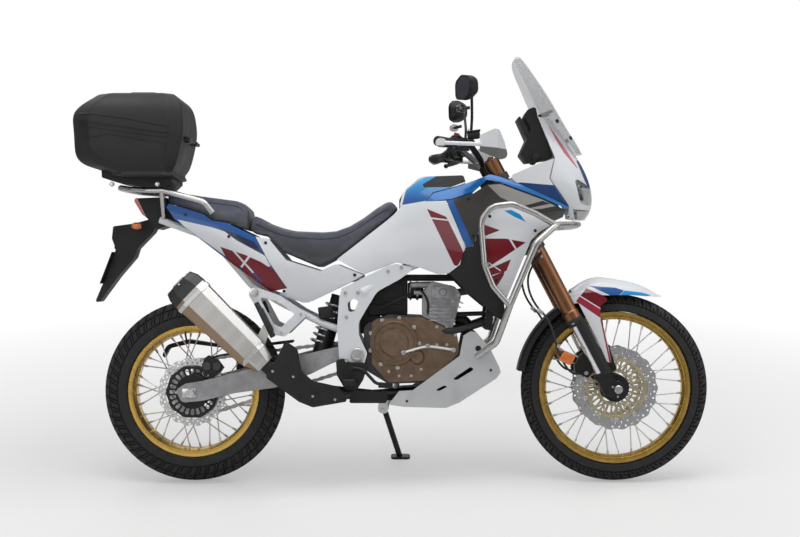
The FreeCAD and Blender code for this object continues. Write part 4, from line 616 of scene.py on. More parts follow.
@finish
def fender_paint(recipe):
    """White with a red wing and a blue-to-sky stripe on each side, and a rose edge down the blade."""
    rose = recipe.any_of([(629, 668), (642, 686), (725, 635), (728, 600)],
                         [(717, 604), (722, 604), (759, 440), (752, 438)])
    colour = recipe.blend(rose, WHITE, (0.36, 0.02, 0.05))
    for outline, tint in (([(645, 689), (670, 716), (757, 678), (727, 638)], CRIMSON),
                          ([(680, 725), (779, 718), (811, 707), (790, 687), (757, 690)], ROYAL),
                          ([(813, 707), (878, 700), (914, 690), (892, 684), (792, 687)], SKY)):
        colour = recipe.blend(recipe.inside(outline), colour, tint)
    return lacquer(recipe, colour)


@finish
def guard_paint(recipe):
    """White shields with a grey lower lip."""
    x, _, z = recipe.axes()
    lip = (z + x * 0.02).ramp(1214, 1215, 1, 0)
    return lacquer(recipe, recipe.blend(lip, WHITE, (0.13, 0.13, 0.135)), 0.34)


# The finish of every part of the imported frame
FINISHED_PARTS = {
    tyre_rubber: "front_tyre rear_tyre",
    gold_anodised: "front_rim rear_rim",
    disc_steel: "front_discs",
    satin_black: "front_hub rear_hub fork_lowers front_calipers handlebar rear_shock rear_caliper "
                 "exhaust_headers heat_cover side_stand foot_controls radiators",
    brushed_steel: "front_spokes rear_spokes rear_disc rear_sprocket front_axle rear_axle chain",
    cast_dark: "fork_yokes engine_block",
    cast_grey: "cylinder_head swingarm",
    copper_anodised: "fork_tubes",
    bright_chrome: "fork_stanchions",
    bronze_paint: "engine_covers",
    satin_plate: "skid_plate",
    stainless_tube: "crash_bars rear_carrier",
    silencer_steel: "silencer",
    black_plastic: "bar_controls fork_guards chain_guard inner_cowls dash case_plate plate_holder",
    case_plastic: "case_tub case_lid",
    gloss_white: "main_frame subframe side_panels",
    royal_blue: "upper_cowls",
    tank_paint: "fuel_tank",
    tail_paint: "tail_panels",
    cowl_graphite: "side_cowls",
    lower_cowl_paint: "lower_cowls",
    nose_paint: "nose_cowl",
    fender_paint: "front_fender",
    guard_paint: "hand_guards",
    seat_vinyl: "rider_seat pillion_seat",
    clear_lens: "headlights",
    smoke_screen: "windscreen",
    red_lens: "tail_lamp",
}
CAD_FINISHES = {name: made for made, names in FINISHED_PARTS.items() for name in names.split()}


class MOTORCYCLE_OT_finishes(bpy.types.Operator):
    """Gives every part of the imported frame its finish"""
    bl_idname = "motorcycle.finishes"
    bl_label = "Frame finishes"

    def execute(self, context):
        for name, node in NODES.items():
            material = CAD_FINISHES[name]()
            node.data.materials.clear()
            node.data.materials.append(material)
            node.data.shade_smooth()
            node.data.set_sharp_from_angle(angle=math.radians(32))
        return {"FINISHED"}


# Shaping: every piece is drawn in the upright bike's millimetres

def piece(shape, name, body, material, smooth=40, replaces=(), slot=None, subdivide=0):
    """Turns a drawn shape into a piece that rides on its body; edges past the smooth angle stay sharp."""
    mesh = bpy.data.meshes.new(name)
    shape.transform(UPRIGHT_TO_ROW)
    shape.to_mesh(mesh)
    shape.free()
    made = bpy.data.objects.new(name, mesh)
    bpy.context.scene.collection.objects.link(made)
    if subdivide:
        soft = made.modifiers.new("soft", "SUBSURF")
        soft.levels = soft.render_levels = subdivide
    mesh.materials.append(material)
    mesh.shade_smooth()
    if smooth < 180:
        mesh.set_sharp_from_angle(angle=math.radians(smooth))
    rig.ride(made, body)
    if replaces:
        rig.replaces(made, *replaces)
    if slot:
        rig.slot(made, slot)
    return made


def faces_out(shape):
    """Joins points that coincide and turns every face outwards."""
    bmesh.ops.remove_doubles(shape, verts=shape.verts, dist=0.01)
    bmesh.ops.recalc_face_normals(shape, faces=shape.faces)
    return shape


def bevelled(shape, edges, width):
    bmesh.ops.bevel(shape, geom=list(edges), offset=width, offset_type="OFFSET", affect="EDGES", segments=2,
                    profile=0.5, material=-1, clamp_overlap=True)


def turn_y(degrees):
    return Matrix.Rotation(math.radians(degrees), 3, "Y")


def toward(start, end):
    """The turn and place that stand a shape drawn up Z on the line from start to end."""
    start, end = Vector(start), Vector(end)
    return Matrix.Translation(start) @ (end - start).to_track_quat("Z", "Y").to_matrix().to_4x4()


def bar(shape, start, end, radius, sides=24, end_radius=None, edge=0.0):
    """A round bar between two points, its rims bevelled by edge."""
    length = (Vector(end) - Vector(start)).length
    made = bmesh.ops.create_cone(shape, cap_ends=True, segments=sides, radius1=radius,
                                 radius2=radius if end_radius is None else end_radius, depth=length,
                                 matrix=toward(start, end) @ Matrix.Translation((0, 0, length / 2)))
    if edge:
        rims = {e for v in made["verts"] for e in v.link_edges
                if any(len(f.verts) > 4 for f in e.link_faces)}
        bevelled(shape, rims, edge)
    return made["verts"]


def stub(shape, start, way, length, radius, sides=24, end_radius=None, edge=0.0):
    """A round bar from a point, along a direction."""
    start = Vector(start)
    return bar(shape, start, start + Vector(way) * length, radius, sides, end_radius, edge)


def box(shape, centre, size, turn=None, edge=0.0):
    """A block of the given size about its centre, with bevelled edges."""
    turn = turn.to_4x4() if turn else Matrix.Identity(4)
    place = Matrix.Translation(centre) @ turn @ Matrix.Diagonal((*size, 1))
    made = bmesh.ops.create_cube(shape, size=1.0, matrix=place)
    if edge:
        bevelled(shape, {e for v in made["verts"] for e in v.link_edges}, edge)


def rounded(outline, steps=5):
    """The outline's points (u, v, radius), with each corner turned into short chords."""
    corners = [(Vector(p[:2]), p[2]) for p in outline]
    points = []
    for i, (corner, radius) in enumerate(corners):
        before, after = corners[i - 1][0] - corner, corners[(i + 1) % len(corners)][0] - corner
        back, ahead = before.normalized(), after.normalized()
        half = back.angle(ahead) / 2
        reach = min(radius / math.tan(half), 0.48 * before.length, 0.48 * after.length)
        centre = corner + (back + ahead).normalized() * reach * math.tan(half) / math.sin(half)
        first, last = corner + back * reach - centre, corner + ahead * reach - centre
        sweep = first.angle_signed(last)
        for k in range(steps + 1):
            spot = first.copy()
            spot.rotate(Matrix.Rotation(-sweep * k / steps, 2))
            points.append(centre + spot)
    return points


def oval(centre, first, second, count):
    """Points round an oval given by its two half axes."""
    turns = (math.tau * k / count for k in range(count))
    return [Vector(centre) + Vector(first) * math.cos(a) + Vector(second) * math.sin(a) for a in turns]


def circled(centre, radius, count, start=0.0):
    """Places round a circle seen from the side, each with its turn."""
    for k in range(count):
        turn = start + math.tau * k / count
        yield Vector(centre) + Vector((math.cos(turn), 0, math.sin(turn))) * radius, turn


def grown(shape, faces, shift):
    """Gives flat faces a thickness."""
    made = bmesh.ops.extrude_face_region(shape, geom=faces)
    tops = [g for g in made["geom"] if isinstance(g, bmesh.types.BMVert)]
    bmesh.ops.translate(shape, verts=tops, vec=shift)
    return tops


def face_of(shape, points):
    return shape.faces.new([shape.verts.new(p) for p in points])


def plate(shape, outline, low, high, edge):
    """A flat plate drawn from the side between two planes, its rims bevelled."""
    face = face_of(shape, [(u, low, v) for u, v in rounded(outline)])
    everything = set(face.verts) | set(grown(shape, [face], (0, high - low, 0)))
    faces = {f for v in everything for f in v.link_faces}
    bmesh.ops.recalc_face_normals(shape, faces=list(faces))
    bevelled(shape, [e for e in {e for f in faces for e in f.edges} if e.calc_face_angle(0) > 1.2], edge)


def turned(shape, profile, centre, axis, steps=96):
    """A ring or disc: (along the axis, radius) points turned about an axis through the centre."""
    axis = Vector(axis).normalized()
    out = axis.orthogonal().normalized()
    verts = [shape.verts.new(Vector(centre) + axis * along + out * radius) for along, radius in profile]
    edges = [shape.edges.new(pair) for pair in zip(verts, verts[1:])]
    if profile[0][1] > 0.01 and profile[-1][1] > 0.01:
        edges.append(shape.edges.new((verts[-1], verts[0])))
    bmesh.ops.spin(shape, geom=verts + edges, cent=centre, axis=axis, angle=math.tau, steps=steps,
                   use_merge=True)
    bmesh.ops.remove_doubles(shape, verts=list(shape.verts), dist=0.01)


def ring_of(shape, points):
    verts = [shape.verts.new(p) for p in points]
    return [shape.edges.new(pair) for pair in zip(verts, verts[1:] + verts[:1])]


def lofted(shape, rings, capped=True):
    """A skin through closed rings with the same number of points."""
    loops = [ring_of(shape, ring) for ring in rings]
    for here, there in zip(loops, loops[1:]):
        bmesh.ops.bridge_loops(shape, edges=here + there)
    if capped:
        for loop in (loops[0], loops[-1]):
            bmesh.ops.contextual_create(shape, geom=loop)


def wire_into(shape, points, radius, sides=10, fineness=6):
    """Adds a round wire along a smooth line through control points."""
    line = bpy.data.curves.new("wire", "CURVE")
    line.dimensions = "3D"
    line.bevel_depth = radius
    line.bevel_resolution = sides // 4
    line.use_fill_caps = True
    run = line.splines.new("NURBS")
    run.points.add(len(points) - 1)
    for spot, point in zip(run.points, points):
        spot.co = (*point, 1)
    run.order_u = 3
    run.use_endpoint_u = True
    run.resolution_u = fineness
    holder = bpy.data.objects.new("wire", line)
    mesh = bpy.data.meshes.new_from_object(holder)
    bpy.data.objects.remove(holder)
    shape.from_mesh(mesh)
    bpy.data.meshes.remove(mesh)


def hose(name, points, radius, body, material, slot, sides=10):
    """A hose or spring as a piece of its own."""
    shape = bmesh.new()
    wire_into(shape, points, radius, sides, 8)
    piece(faces_out(shape), name, body, material, 180, slot=slot)


def bolt(shape, centre, axis, radius=5.0, height=4.0, kind="hex"):
    """A bolt head standing on a surface: hexagon, or round with a hexagon socket."""
    centre, axis = Vector(centre), Vector(axis).normalized()
    if kind == "hex":
        bar(shape, centre - axis, centre + axis, radius * 1.25, 20)
        bar(shape, centre, centre + axis * height, radius, 6, radius * 0.94)
        return
    verts = bar(shape, centre - axis, centre + axis * height, radius, 20, radius * 0.9)
    faces = {f for v in verts for f in v.link_faces}
    cap = [f for f in faces if len(f.verts) > 4 and f.normal.dot(axis) > 0.9]
    bmesh.ops.inset_region(shape, faces=cap, thickness=radius * 0.42, depth=0)
    bmesh.ops.inset_region(shape, faces=cap, thickness=0.2, depth=-height * 0.55)


# Finding the frame's surfaces

TREES = {}


def tree_from(mesh):
    verts = [ROW_TO_UPRIGHT @ v.co for v in mesh.vertices]
    return BVHTree.FromPolygons(verts, [list(p.vertices) for p in mesh.polygons])


def tree_of(name):
    if name not in TREES:
        TREES[name] = tree_from(NODES[name].data)
    return TREES[name]


def touch(start, way, *names):
    """Where a line from a point first meets the named nodes, and the way their surface faces there."""
    nearest = (None, None, math.inf)
    for name in names:
        spot, normal, _, gap = tree_of(name).ray_cast(Vector(start), Vector(way).normalized())
        if spot is not None and gap < nearest[2]:
            nearest = (spot, normal, gap)
    return nearest[:2]


def from_side(side, x, z, *names):
    """The outermost point of the named nodes at (x, z), seen from one side."""
    return touch((x, side * 700, z), (0, -side, 0), *names)[0]


def side_bolts(shape, side, spots, radius, height, kind, *names):
    """Bolt heads on the named nodes, facing one side; a place off them gets none."""
    for x, z in spots:
        spot = from_side(side, x, z, *names)
        if spot is not None:
            bolt(shape, spot, (0, side, 0), radius, height, kind)


# Wheels

class TyreSizes(bpy.types.PropertyGroup):
    groove: measure("Groove", "Tread depth in millimetres", 6, 1, 12)
    front_pitches: number("Front pitches", "Tread repeats round the front tyre", 66, 20, 120)
    rear_pitches: number("Rear pitches", "Tread repeats round the rear tyre", 54, 20, 120)


class BrakeSizes(bpy.types.PropertyGroup):
    waves: number("Waves", "Waves round each disc's rim", 18, 4, 30)
    slots: number("Slots", "Slots round each front carrier", 30, 10, 60)


# How far the tread reaches round a tyre's section, to each side of its middle
TREAD_SPREAD = math.radians(74)
# Cells of one tread pitch, round the tyre
CELLS = 6
# Tread rows from the middle outwards: share of the half tread where a row ends, then its standing cells
FRONT_TREAD = [(0.05, ""), (0.34, "01234"), (0.40, ""), (0.72, "12345"), (0.77, "1234"), (1.0, "0134")]
REAR_TREAD = [(0.04, ""), (0.28, "01234"), (0.33, "12"), (0.62, "12345"), (0.66, ""), (1.0, "0234")]


def tyre_section(radius, width, bead_radius, rim_half, groove, rows):
    """Points (across, radius) of one half of the carcass, from the middle of the tread to the bead."""
    crown = width / 2
    centre = radius - crown
    base = crown - groove
    shares = [0.0]
    for share, _ in rows:
        steps = max(1, round((share - shares[-1]) * 8))
        shares += [shares[-1] + (share - shares[-1]) * (k + 1) / steps for k in range(steps)]
    tread = [(base * math.sin(TREAD_SPREAD * s), centre + base * math.cos(TREAD_SPREAD * s)) for s in shares]
    edge = tread[-1]
    wall = [(edge[0] + groove * 0.9, edge[1] - 2.5), (crown - 0.8, centre - 3), (crown - 1.2, centre - 9),
            (crown - 0.2, centre - 11), (crown - 0.4, centre - 14), (crown - 2.5, centre - 17),
            (0.5 * (crown + rim_half) - 1, 0.45 * centre + 0.55 * (bead_radius + 18)),
            (rim_half + 1, bead_radius + 21), (rim_half + 3.5, bead_radius + 18.5),
            (rim_half + 2.5, bead_radius + 16.2), (rim_half - 1, bead_radius + 16)]
    return tread + [p for p in wall if p[1] < edge[1]]


def tyre(name, node, body, axle, radius, width, bead_radius, rim_half, rows, pitches, groove, skew):
    """A carcass turned about the axle, with its tread blocks raised and skewed along the tread."""
    shape = bmesh.new()
    half = tyre_section(radius, width, bead_radius, rim_half, groove, rows)
    line = [(-a, r) for a, r in reversed(half[1:])] + half
    verts = [shape.verts.new(axle + Vector((0, a, r))) for a, r in line]
    edges = [shape.edges.new(pair) for pair in zip(verts, verts[1:])]
    bmesh.ops.spin(shape, geom=verts + edges, cent=axle, axis=(0, 1, 0), angle=math.tau,
                   steps=pitches * CELLS, use_merge=True)
    bmesh.ops.remove_doubles(shape, verts=shape.verts, dist=0.02)
    centre = radius - width / 2

    def across(point):
        """Share of the half tread, signed, the turn round the axle in pitches, and the distance from it."""
        x, z = point.x - axle.x, point.z - axle.z
        reach = math.hypot(x, z)
        turn = math.atan2(x, z) / math.tau * pitches
        return math.atan2(point.y, reach - centre) / TREAD_SPREAD, turn, reach

    blocks = []
    for face in shape.faces:
        share, turn, reach = across(face.calc_center_median())
        standing = next((cells for end, cells in rows if abs(share) < end), "")
        shift = 0 if share > 0 else CELLS // 2
        if reach >= centre and str(math.floor(turn * CELLS + shift) % CELLS) in standing:
            blocks.append(face)
    bmesh.ops.recalc_face_normals(shape, faces=shape.faces)
    bmesh.ops.inset_region(shape, faces=blocks, thickness=0.5, depth=groove, use_even_offset=True,
                           use_boundary=True)
    for vert in shape.verts:
        share = abs(across(vert.co)[0])
        if share < 1.3:
            turn = Matrix.Rotation(skew * min(1, share) * math.tau / pitches, 4, "Y")
            vert.co = Matrix.Translation(axle) @ turn @ Matrix.Translation(-axle) @ vert.co
    piece(shape, name, body, tyre_rubber(), 30, replaces=[node], slot="tyre")


class MOTORCYCLE_OT_tyres(bpy.types.Operator):
    """Tyres with road and trail tread"""
    bl_idname = "motorcycle.tyres"
    bl_label = "Tyres"

    def execute(self, context):
        sizes = context.scene.motorcycle_tyres
        tyre("front_tyre_treaded", "front_tyre", "front_wheel", FRONT_AXLE, 347, 90, 267, 27, FRONT_TREAD,
             sizes.front_pitches, sizes.groove, 1.1)
        tyre("rear_tyre_treaded", "rear_tyre", "rear_wheel", REAR_AXLE, 335, 150, 229, 54, REAR_TREAD,
             sizes.rear_pitches, sizes.groove, -1.3)
        return {"FINISHED"}


class MOTORCYCLE_OT_wheel_fittings(bpy.types.Operator):
    """Spoke nipples, valves, disc bobbins and hub bolts"""
    bl_idname = "motorcycle.wheel_fittings"
    bl_label = "Wheel fittings"

    def execute(self, context):
        self.rim_fittings("front", "front_wheel", FRONT_AXLE, 267, 27, 55.5, 47)
        self.rim_fittings("rear", "rear_wheel", REAR_AXLE, 229, 54, 66, 57)
        for side in SIDES:
            shape = bmesh.new()
            way = (0, side, 0)
            for spot, _ in circled(FRONT_AXLE + Vector((0, side * 60, 0)), 117, 10, math.tau / 20):
                stub(shape, spot, way, 6.6, 8, 18, edge=0.8)
            for spot, _ in circled(FRONT_AXLE + Vector((0, side * 65.4, 0)), 25, 5):
                bolt(shape, spot, way, 5, 5, "socket")
            piece(shape, f"front_bobbins_{HANDS[side]}", "front_wheel", brushed_steel(), slot="steel")
        return {"FINISHED"}

    def rim_fittings(self, label, body, axle, rim_radius, rim_half, flange_radius, flange_half):
        """A nipple where each spoke meets the rim, and the valve."""
        shape = bmesh.new()
        reach = rim_radius - 16
        for i in range(SPOKES):
            side = 1 if i % 2 else -1
            lean = 1 if i % 4 < 2 else -1
            at_rim = math.tau * (i + 0.5) / SPOKES
            at_hub = at_rim + lean * math.radians(52)
            apart = lean * 2.5
            start = axle + Vector((flange_radius * math.cos(at_hub), side * (flange_half + apart),
                                   flange_radius * math.sin(at_hub)))
            end = axle + Vector((reach * math.cos(at_rim), side * (rim_half * 0.25 + apart),
                                 reach * math.sin(at_rim)))
            run = (end - start).normalized()
            bar(shape, end - run * 15, end - run, 3.6, 6, 4.6)
        piece(shape, f"{label}_nipples", body, brushed_steel(), slot="steel")
        shape = bmesh.new()
        out = Vector((math.cos(1.75), 0, math.sin(1.75)))
        valve = axle + out * (rim_radius - 12)
        bar(shape, valve, valve - out * 34, 4, 12, 3.2)
        bar(shape, valve - out * 33, valve - out * 44, 5, 12, 4.4, 0.5)
        piece(shape, f"{label}_valve", body, soft_rubber(), slot="tyre")


def round_loop(radius, steps, u=0.0, v=0.0, waves=0, depth=0.0):
    """A circle of points about (u, v), its radius rising and falling for a wave disc."""
    spots = []
    for k in range(steps):
        turn = math.tau * k / steps
        reach = radius - depth * (0.5 - 0.5 * math.cos(waves * turn)) if waves else radius
        spots.append((u + reach * math.cos(turn), v + reach * math.sin(turn)))
    return spots


def punched(shape, centre, plane, loops, thick):
    """A flat plate between closed loops of (along X, up) points: its rim first, then its openings."""
    edges = []
    for loop in loops:
        edges += ring_of(shape, [Vector((centre.x + u, plane, centre.z + v)) for u, v in loop])
    filled = bmesh.ops.triangle_fill(shape, edges=edges, use_beauty=True, normal=(0, 1, 0))
    grown(shape, [g for g in filled["geom"] if isinstance(g, bmesh.types.BMFace)], (0, thick, 0))


def friction_ring(shape, centre, plane, inner, outer, waves, thick):
    """A drilled wave disc with two staggered rows of holes."""
    loops = [round_loop(outer, 240, waves=waves, depth=6), round_loop(inner, 120)]
    holes = waves * 2
    for row in range(2):
        reach = inner + (outer - inner) * (0.3 + 0.38 * row)
        for k in range(holes):
            turn = math.tau * (k + row / 2) / holes
            loops.append(round_loop(4.2, 10, reach * math.cos(turn), reach * math.sin(turn)))
    punched(shape, centre, plane, loops, thick)


def slotted_carrier(shape, centre, plane, inner, outer, slots, thick):
    """A carrier ring with a circle of radial slots and a scalloped rim."""
    loops = [round_loop(outer, 200, waves=10, depth=4), round_loop(inner, 72)]
    low, high = inner + 7, outer - 13
    half, wide = (math.pi * reach / slots * 0.62 for reach in (low, high))
    slot = ((low, -half), (high - 4, -wide), (high, -wide * 0.5), (high, wide * 0.5), (high - 4, wide),
            (low, half))
    for k in range(slots):
        turn = math.tau * k / slots
        out, across = Vector((math.cos(turn), math.sin(turn))), Vector((-math.sin(turn), math.cos(turn)))
        loops.append([tuple(out * reach + across * side) for reach, side in slot])
    punched(shape, centre, plane, loops, thick)


class MOTORCYCLE_OT_discs(bpy.types.Operator):
    """Drilled wave discs on slotted carriers"""
    bl_idname = "motorcycle.discs"
    bl_label = "Brake discs"

    def execute(self, context):
        sizes = context.scene.motorcycle_brakes
        rings, carriers = bmesh.new(), bmesh.new()
        for ring_plane, carrier_plane in ((-64.9, -65.4), (60.4, 61)):
            friction_ring(rings, FRONT_AXLE, ring_plane, 117, 155, sizes.waves, 4.5)
            slotted_carrier(carriers, FRONT_AXLE, carrier_plane, 60, 115, sizes.slots, 4.4)
        piece(faces_out(rings), "front_friction_rings", "front_wheel", disc_steel(), 35,
              replaces=["front_discs"], slot="steel")
        piece(faces_out(carriers), "front_carriers", "front_wheel", pale_gold(), 35, slot="gold_rim")
        ring, carrier = bmesh.new(), bmesh.new()
        friction_ring(ring, REAR_AXLE, -89.6, 100, 127, sizes.waves, 4.6)
        slotted_carrier(carrier, REAR_AXLE, -89.4, 56, 98, sizes.slots - 6, 4.2)
        piece(faces_out(ring), "rear_friction_ring", "rear_wheel", brushed_steel(), 35,
              replaces=["rear_disc"], slot="steel")
        piece(faces_out(carrier), "rear_carrier_ring", "rear_wheel", satin_black(), 35, slot="black_metal")
        return {"FINISHED"}


# Engine

class EngineSizes(bpy.types.PropertyGroup):
    fins: number("Fins", "Cooling fins on each side of the cylinder", 6, 0, 12)
    clutch_radius: measure("Clutch cover", "Radius of the round cover in millimetres", 85, 60, 100)


class MOTORCYCLE_OT_engine(bpy.types.Operator):
    """Engine covers with their rings, bolts, pipes, filter and fins"""
    bl_idname = "motorcycle.engine"
    bl_label = "Engine details"

    def execute(self, context):
        sizes = context.scene.motorcycle_engine
        self.covers(sizes.clutch_radius)
        self.cylinder(sizes.fins)
        self.plumbing()
        self.intake()
        self.head()
        self.clamps()
        return {"FINISHED"}

    def covers(self, radius):
        """The round clutch cover's raised ring, ribbed cap and bolts."""
        x, z = CLUTCH
        face = from_side(-1, x + 58, z, "engine_covers").y
        centre, out = Vector((x, face, z)), Vector((0, -1, 0))
        shape = bmesh.new()
        turned(shape, [(-1, radius - 4), (3, radius - 4), (5, radius - 6), (5, radius - 11), (3, radius - 13),
                       (-1, radius - 13)], centre, out)
        turned(shape, [(-1, 52), (7, 51), (10, 48), (10, 43), (8, 41), (8, 24), (9.5, 22), (9.5, 0)],
               centre, out)
        for spot, turn in circled(centre + out * 1.5, 62, 9, math.radians(18)):
            box(shape, spot, (17, 5, 3.2), turn_y(-math.degrees(turn)), 0.8)
        piece(faces_out(shape), "clutch_cover", "root", bronze_paint(), 35, slot="bronze")
        shape = bmesh.new()
        for spot, _ in circled(centre, radius + 7, 9, math.radians(-2)):
            seat = touch(spot + out * 60, -out, *CASES)[0]
            bar(shape, seat - out * 2, seat + out * 5, 8.5, 20, 7.5, 0.8)
            bolt(shape, seat + out * 5, out, 5.2, 5)
        for spot, _ in circled(centre + out * 8, 33, 3, math.radians(90)):
            bolt(shape, spot, out, 4, 3.4, "socket")
        piece(shape, "clutch_bolts", "root", brushed_steel(), 35, slot="steel")

    def cylinder(self, fins):
        """Fins up the leaning cylinder, and bolts on the head and the covers."""
        if fins:
            shape = bmesh.new()
            for side in SIDES:
                for x, z in ((96 + 9 * i, 604 + 15.5 * i) for i in range(fins)):
                    spot = from_side(side, x + 22, z, "cylinder_head", "engine_block")
                    box(shape, (x + 26, spot.y + side * 2.5, z), (104, 8, 4.4), turn_y(24), 1)
            piece(shape, "cylinder_fins", "root", cast_grey(), 35, slot="cast_alloy")
        shape = bmesh.new()
        head = [(112, 742), (160, 722), (196, 690), (120, 698), (176, 668)]
        side_bolts(shape, -1, head, 5.5, 5, "socket", "cylinder_head")
        side_bolts(shape, 1, head[:4], 5.5, 5, "socket", "cylinder_head")
        side_bolts(shape, -1, [(118, 575), (154, 575), (118, 510), (154, 510), (186, 545)], 4.6, 4, "hex",
                   *CASES)
        side_bolts(shape, -1, [(-58, 412), (-20, 396), (24, 396), (60, 420)], 4.4, 4, "hex", *CASES)
        piece(shape, "engine_bolts", "root", brushed_steel(), 35, slot="steel")

    def plumbing(self):
        """Oil filter, oil pipe and coolant hoses."""
        x, z = FILTER
        wall = from_side(-1, x, z, *CASES).y
        shape = bmesh.new()
        turned(shape, [(-4, 27), (4, 27), (7, 25), (14, 24.5), (17, 22), (17, 8), (15, 0)], (x, wall, z),
               (0, -1, 0))
        stub(shape, (x, wall - 15, z), (0, -1, 0), 8, 8.5, 6, 8)
        piece(faces_out(shape), "oil_filter", "root", bronze_paint(), 35, slot="bronze")
        shape = bmesh.new()
        run = [(-4, 482), (40, 496), (84, 506), (130, 500), (178, 492)]
        depth = min(from_side(-1, x, z, *CASES).y - 6 for x, z in run)
        wire_into(shape, [(x, depth, z) for x, z in run], 5.5)
        for x, z in run[::2]:
            bar(shape, (x, from_side(-1, x, z, *CASES).y + 1, z), (x, depth - 8, z), 8.5, 20, edge=1)
            bolt(shape, (x, depth - 8, z), (0, -1, 0), 6, 5)
        piece(shape, "oil_pipe", "root", brushed_steel(), 35, slot="steel")
        shape = bmesh.new()
        for side in SIDES:
            for run in (
                    [(168, 60, 690), (200, 96, 700), (236, 112, 706), (276, 118, 700), (312, 112, 690)],
                    [(110, 100, 566), (150, 118, 556), (205, 122, 566), (262, 118, 580), (300, 110, 596)]):
                wire_into(shape, [(x, side * y, z) for x, y, z in run], 12)
        piece(shape, "coolant_hoses", "root", soft_rubber(), 60, slot="black_plastic")

    def intake(self):
        """Throttle bodies with their cables, and black filler blocks over and behind the engine: partly the airbox,
        partly painted shade filling the deep shadow round it and the gap under the tank.
        """
        shape = bmesh.new()
        for side in SIDES:
            for start, end, radius, edge in ((70, 12, 29, 2), (52, 42, 33, 1.5), (26, 18, 32, 1.5)):
                bar(shape, (start, side * 44, 706), (end, side * 44, 706), radius, 40, edge=edge)
            box(shape, (36, side * 80, 706), (30, 22, 30), edge=3)
            stub(shape, (36, side * 88, 706), (0, side, 0), 8, 13, 28, edge=1.5)
            for run, radius in (([(36, 96, 696), (10, 118, 690), (-40, 118, 668), (-96, 104, 640)], 5),
                                ([(50, 92, 716), (66, 116, 706), (90, 118, 664), (84, 116, 620)], 4)):
                wire_into(shape, [(x, side * y, z) for x, y, z in run], radius)
            for centre, size, edge in (((-62, 87, 702), (112, 8, 92), 4), ((-62, 91, 730), (96, 6, 10), 2),
                                       ((-62, 91, 672), (96, 6, 10), 2)):
                box(shape, (centre[0], side * centre[1], centre[2]), size, edge=edge)
        # Black filler blocks: partly the airbox, partly painted shade that closes the gaps between frame, engine and
        # tank, where the bay lies in deep shadow
        box(shape, (-62, 0, 690), (146, 172, 152), edge=10)
        box(shape, (70, 0, 754), (250, 150, 24), edge=6)
        box(shape, (-128, 0, 596), (74, 150, 96), edge=8)
        piece(shape, "intake", "root", black_plastic(), 40, slot="black_plastic")

    def head(self):
        """Ribs, a round plug and its bolts on each side of the cylinder head, and two stubs behind it."""
        shape = bmesh.new()
        for side in SIDES:
            for z in range(598, 668, 14):
                box(shape, (138, side * 114, z), (96, 9, 5), edge=1.5)
            box(shape, (140, side * 113, 702), (84, 10, 46), edge=5)
            stub(shape, (140, side * 116, 702), (0, side, 0), 10, 15, 32, 12)
            for x in (106, 174):
                for z in (686, 718):
                    bolt(shape, (x, side * 118, z), (0, side, 0), 4.5, 4, "hex")
            bar(shape, (98, side * 96, 728), (22, side * 96, 728), 12, 28, 10)
            bar(shape, (98, side * 96, 700), (34, side * 96, 700), 10, 28, 8.5)
        piece(shape, "head_ribs", "root", cast_grey(), 35, slot="cast_alloy")

    def clamps(self):
        """A clamp with its screw on each end of the throttle bodies' hoses."""
        shape = bmesh.new()
        for side in SIDES:
            for x in (47, 22):
                turned(shape, [(-3, 33.4), (3, 33.4), (3, 34.8), (-3, 34.8)], (x, side * 44, 706),
                       (1, 0, 0), 40)
                stub(shape, (x, side * 78, 706), (0, side, 0), 8, 3, 10)
        piece(shape, "intake_clamps", "root", brushed_steel(), 35, slot="steel")


# Front end

class ControlSizes(bpy.types.PropertyGroup):
    grip_rings: number("Grip rings", "Raised rings along each grip", 16, 0, 40)
    lever_length: measure("Lever", "Length of the hand levers in millimetres", 165, 100, 200)


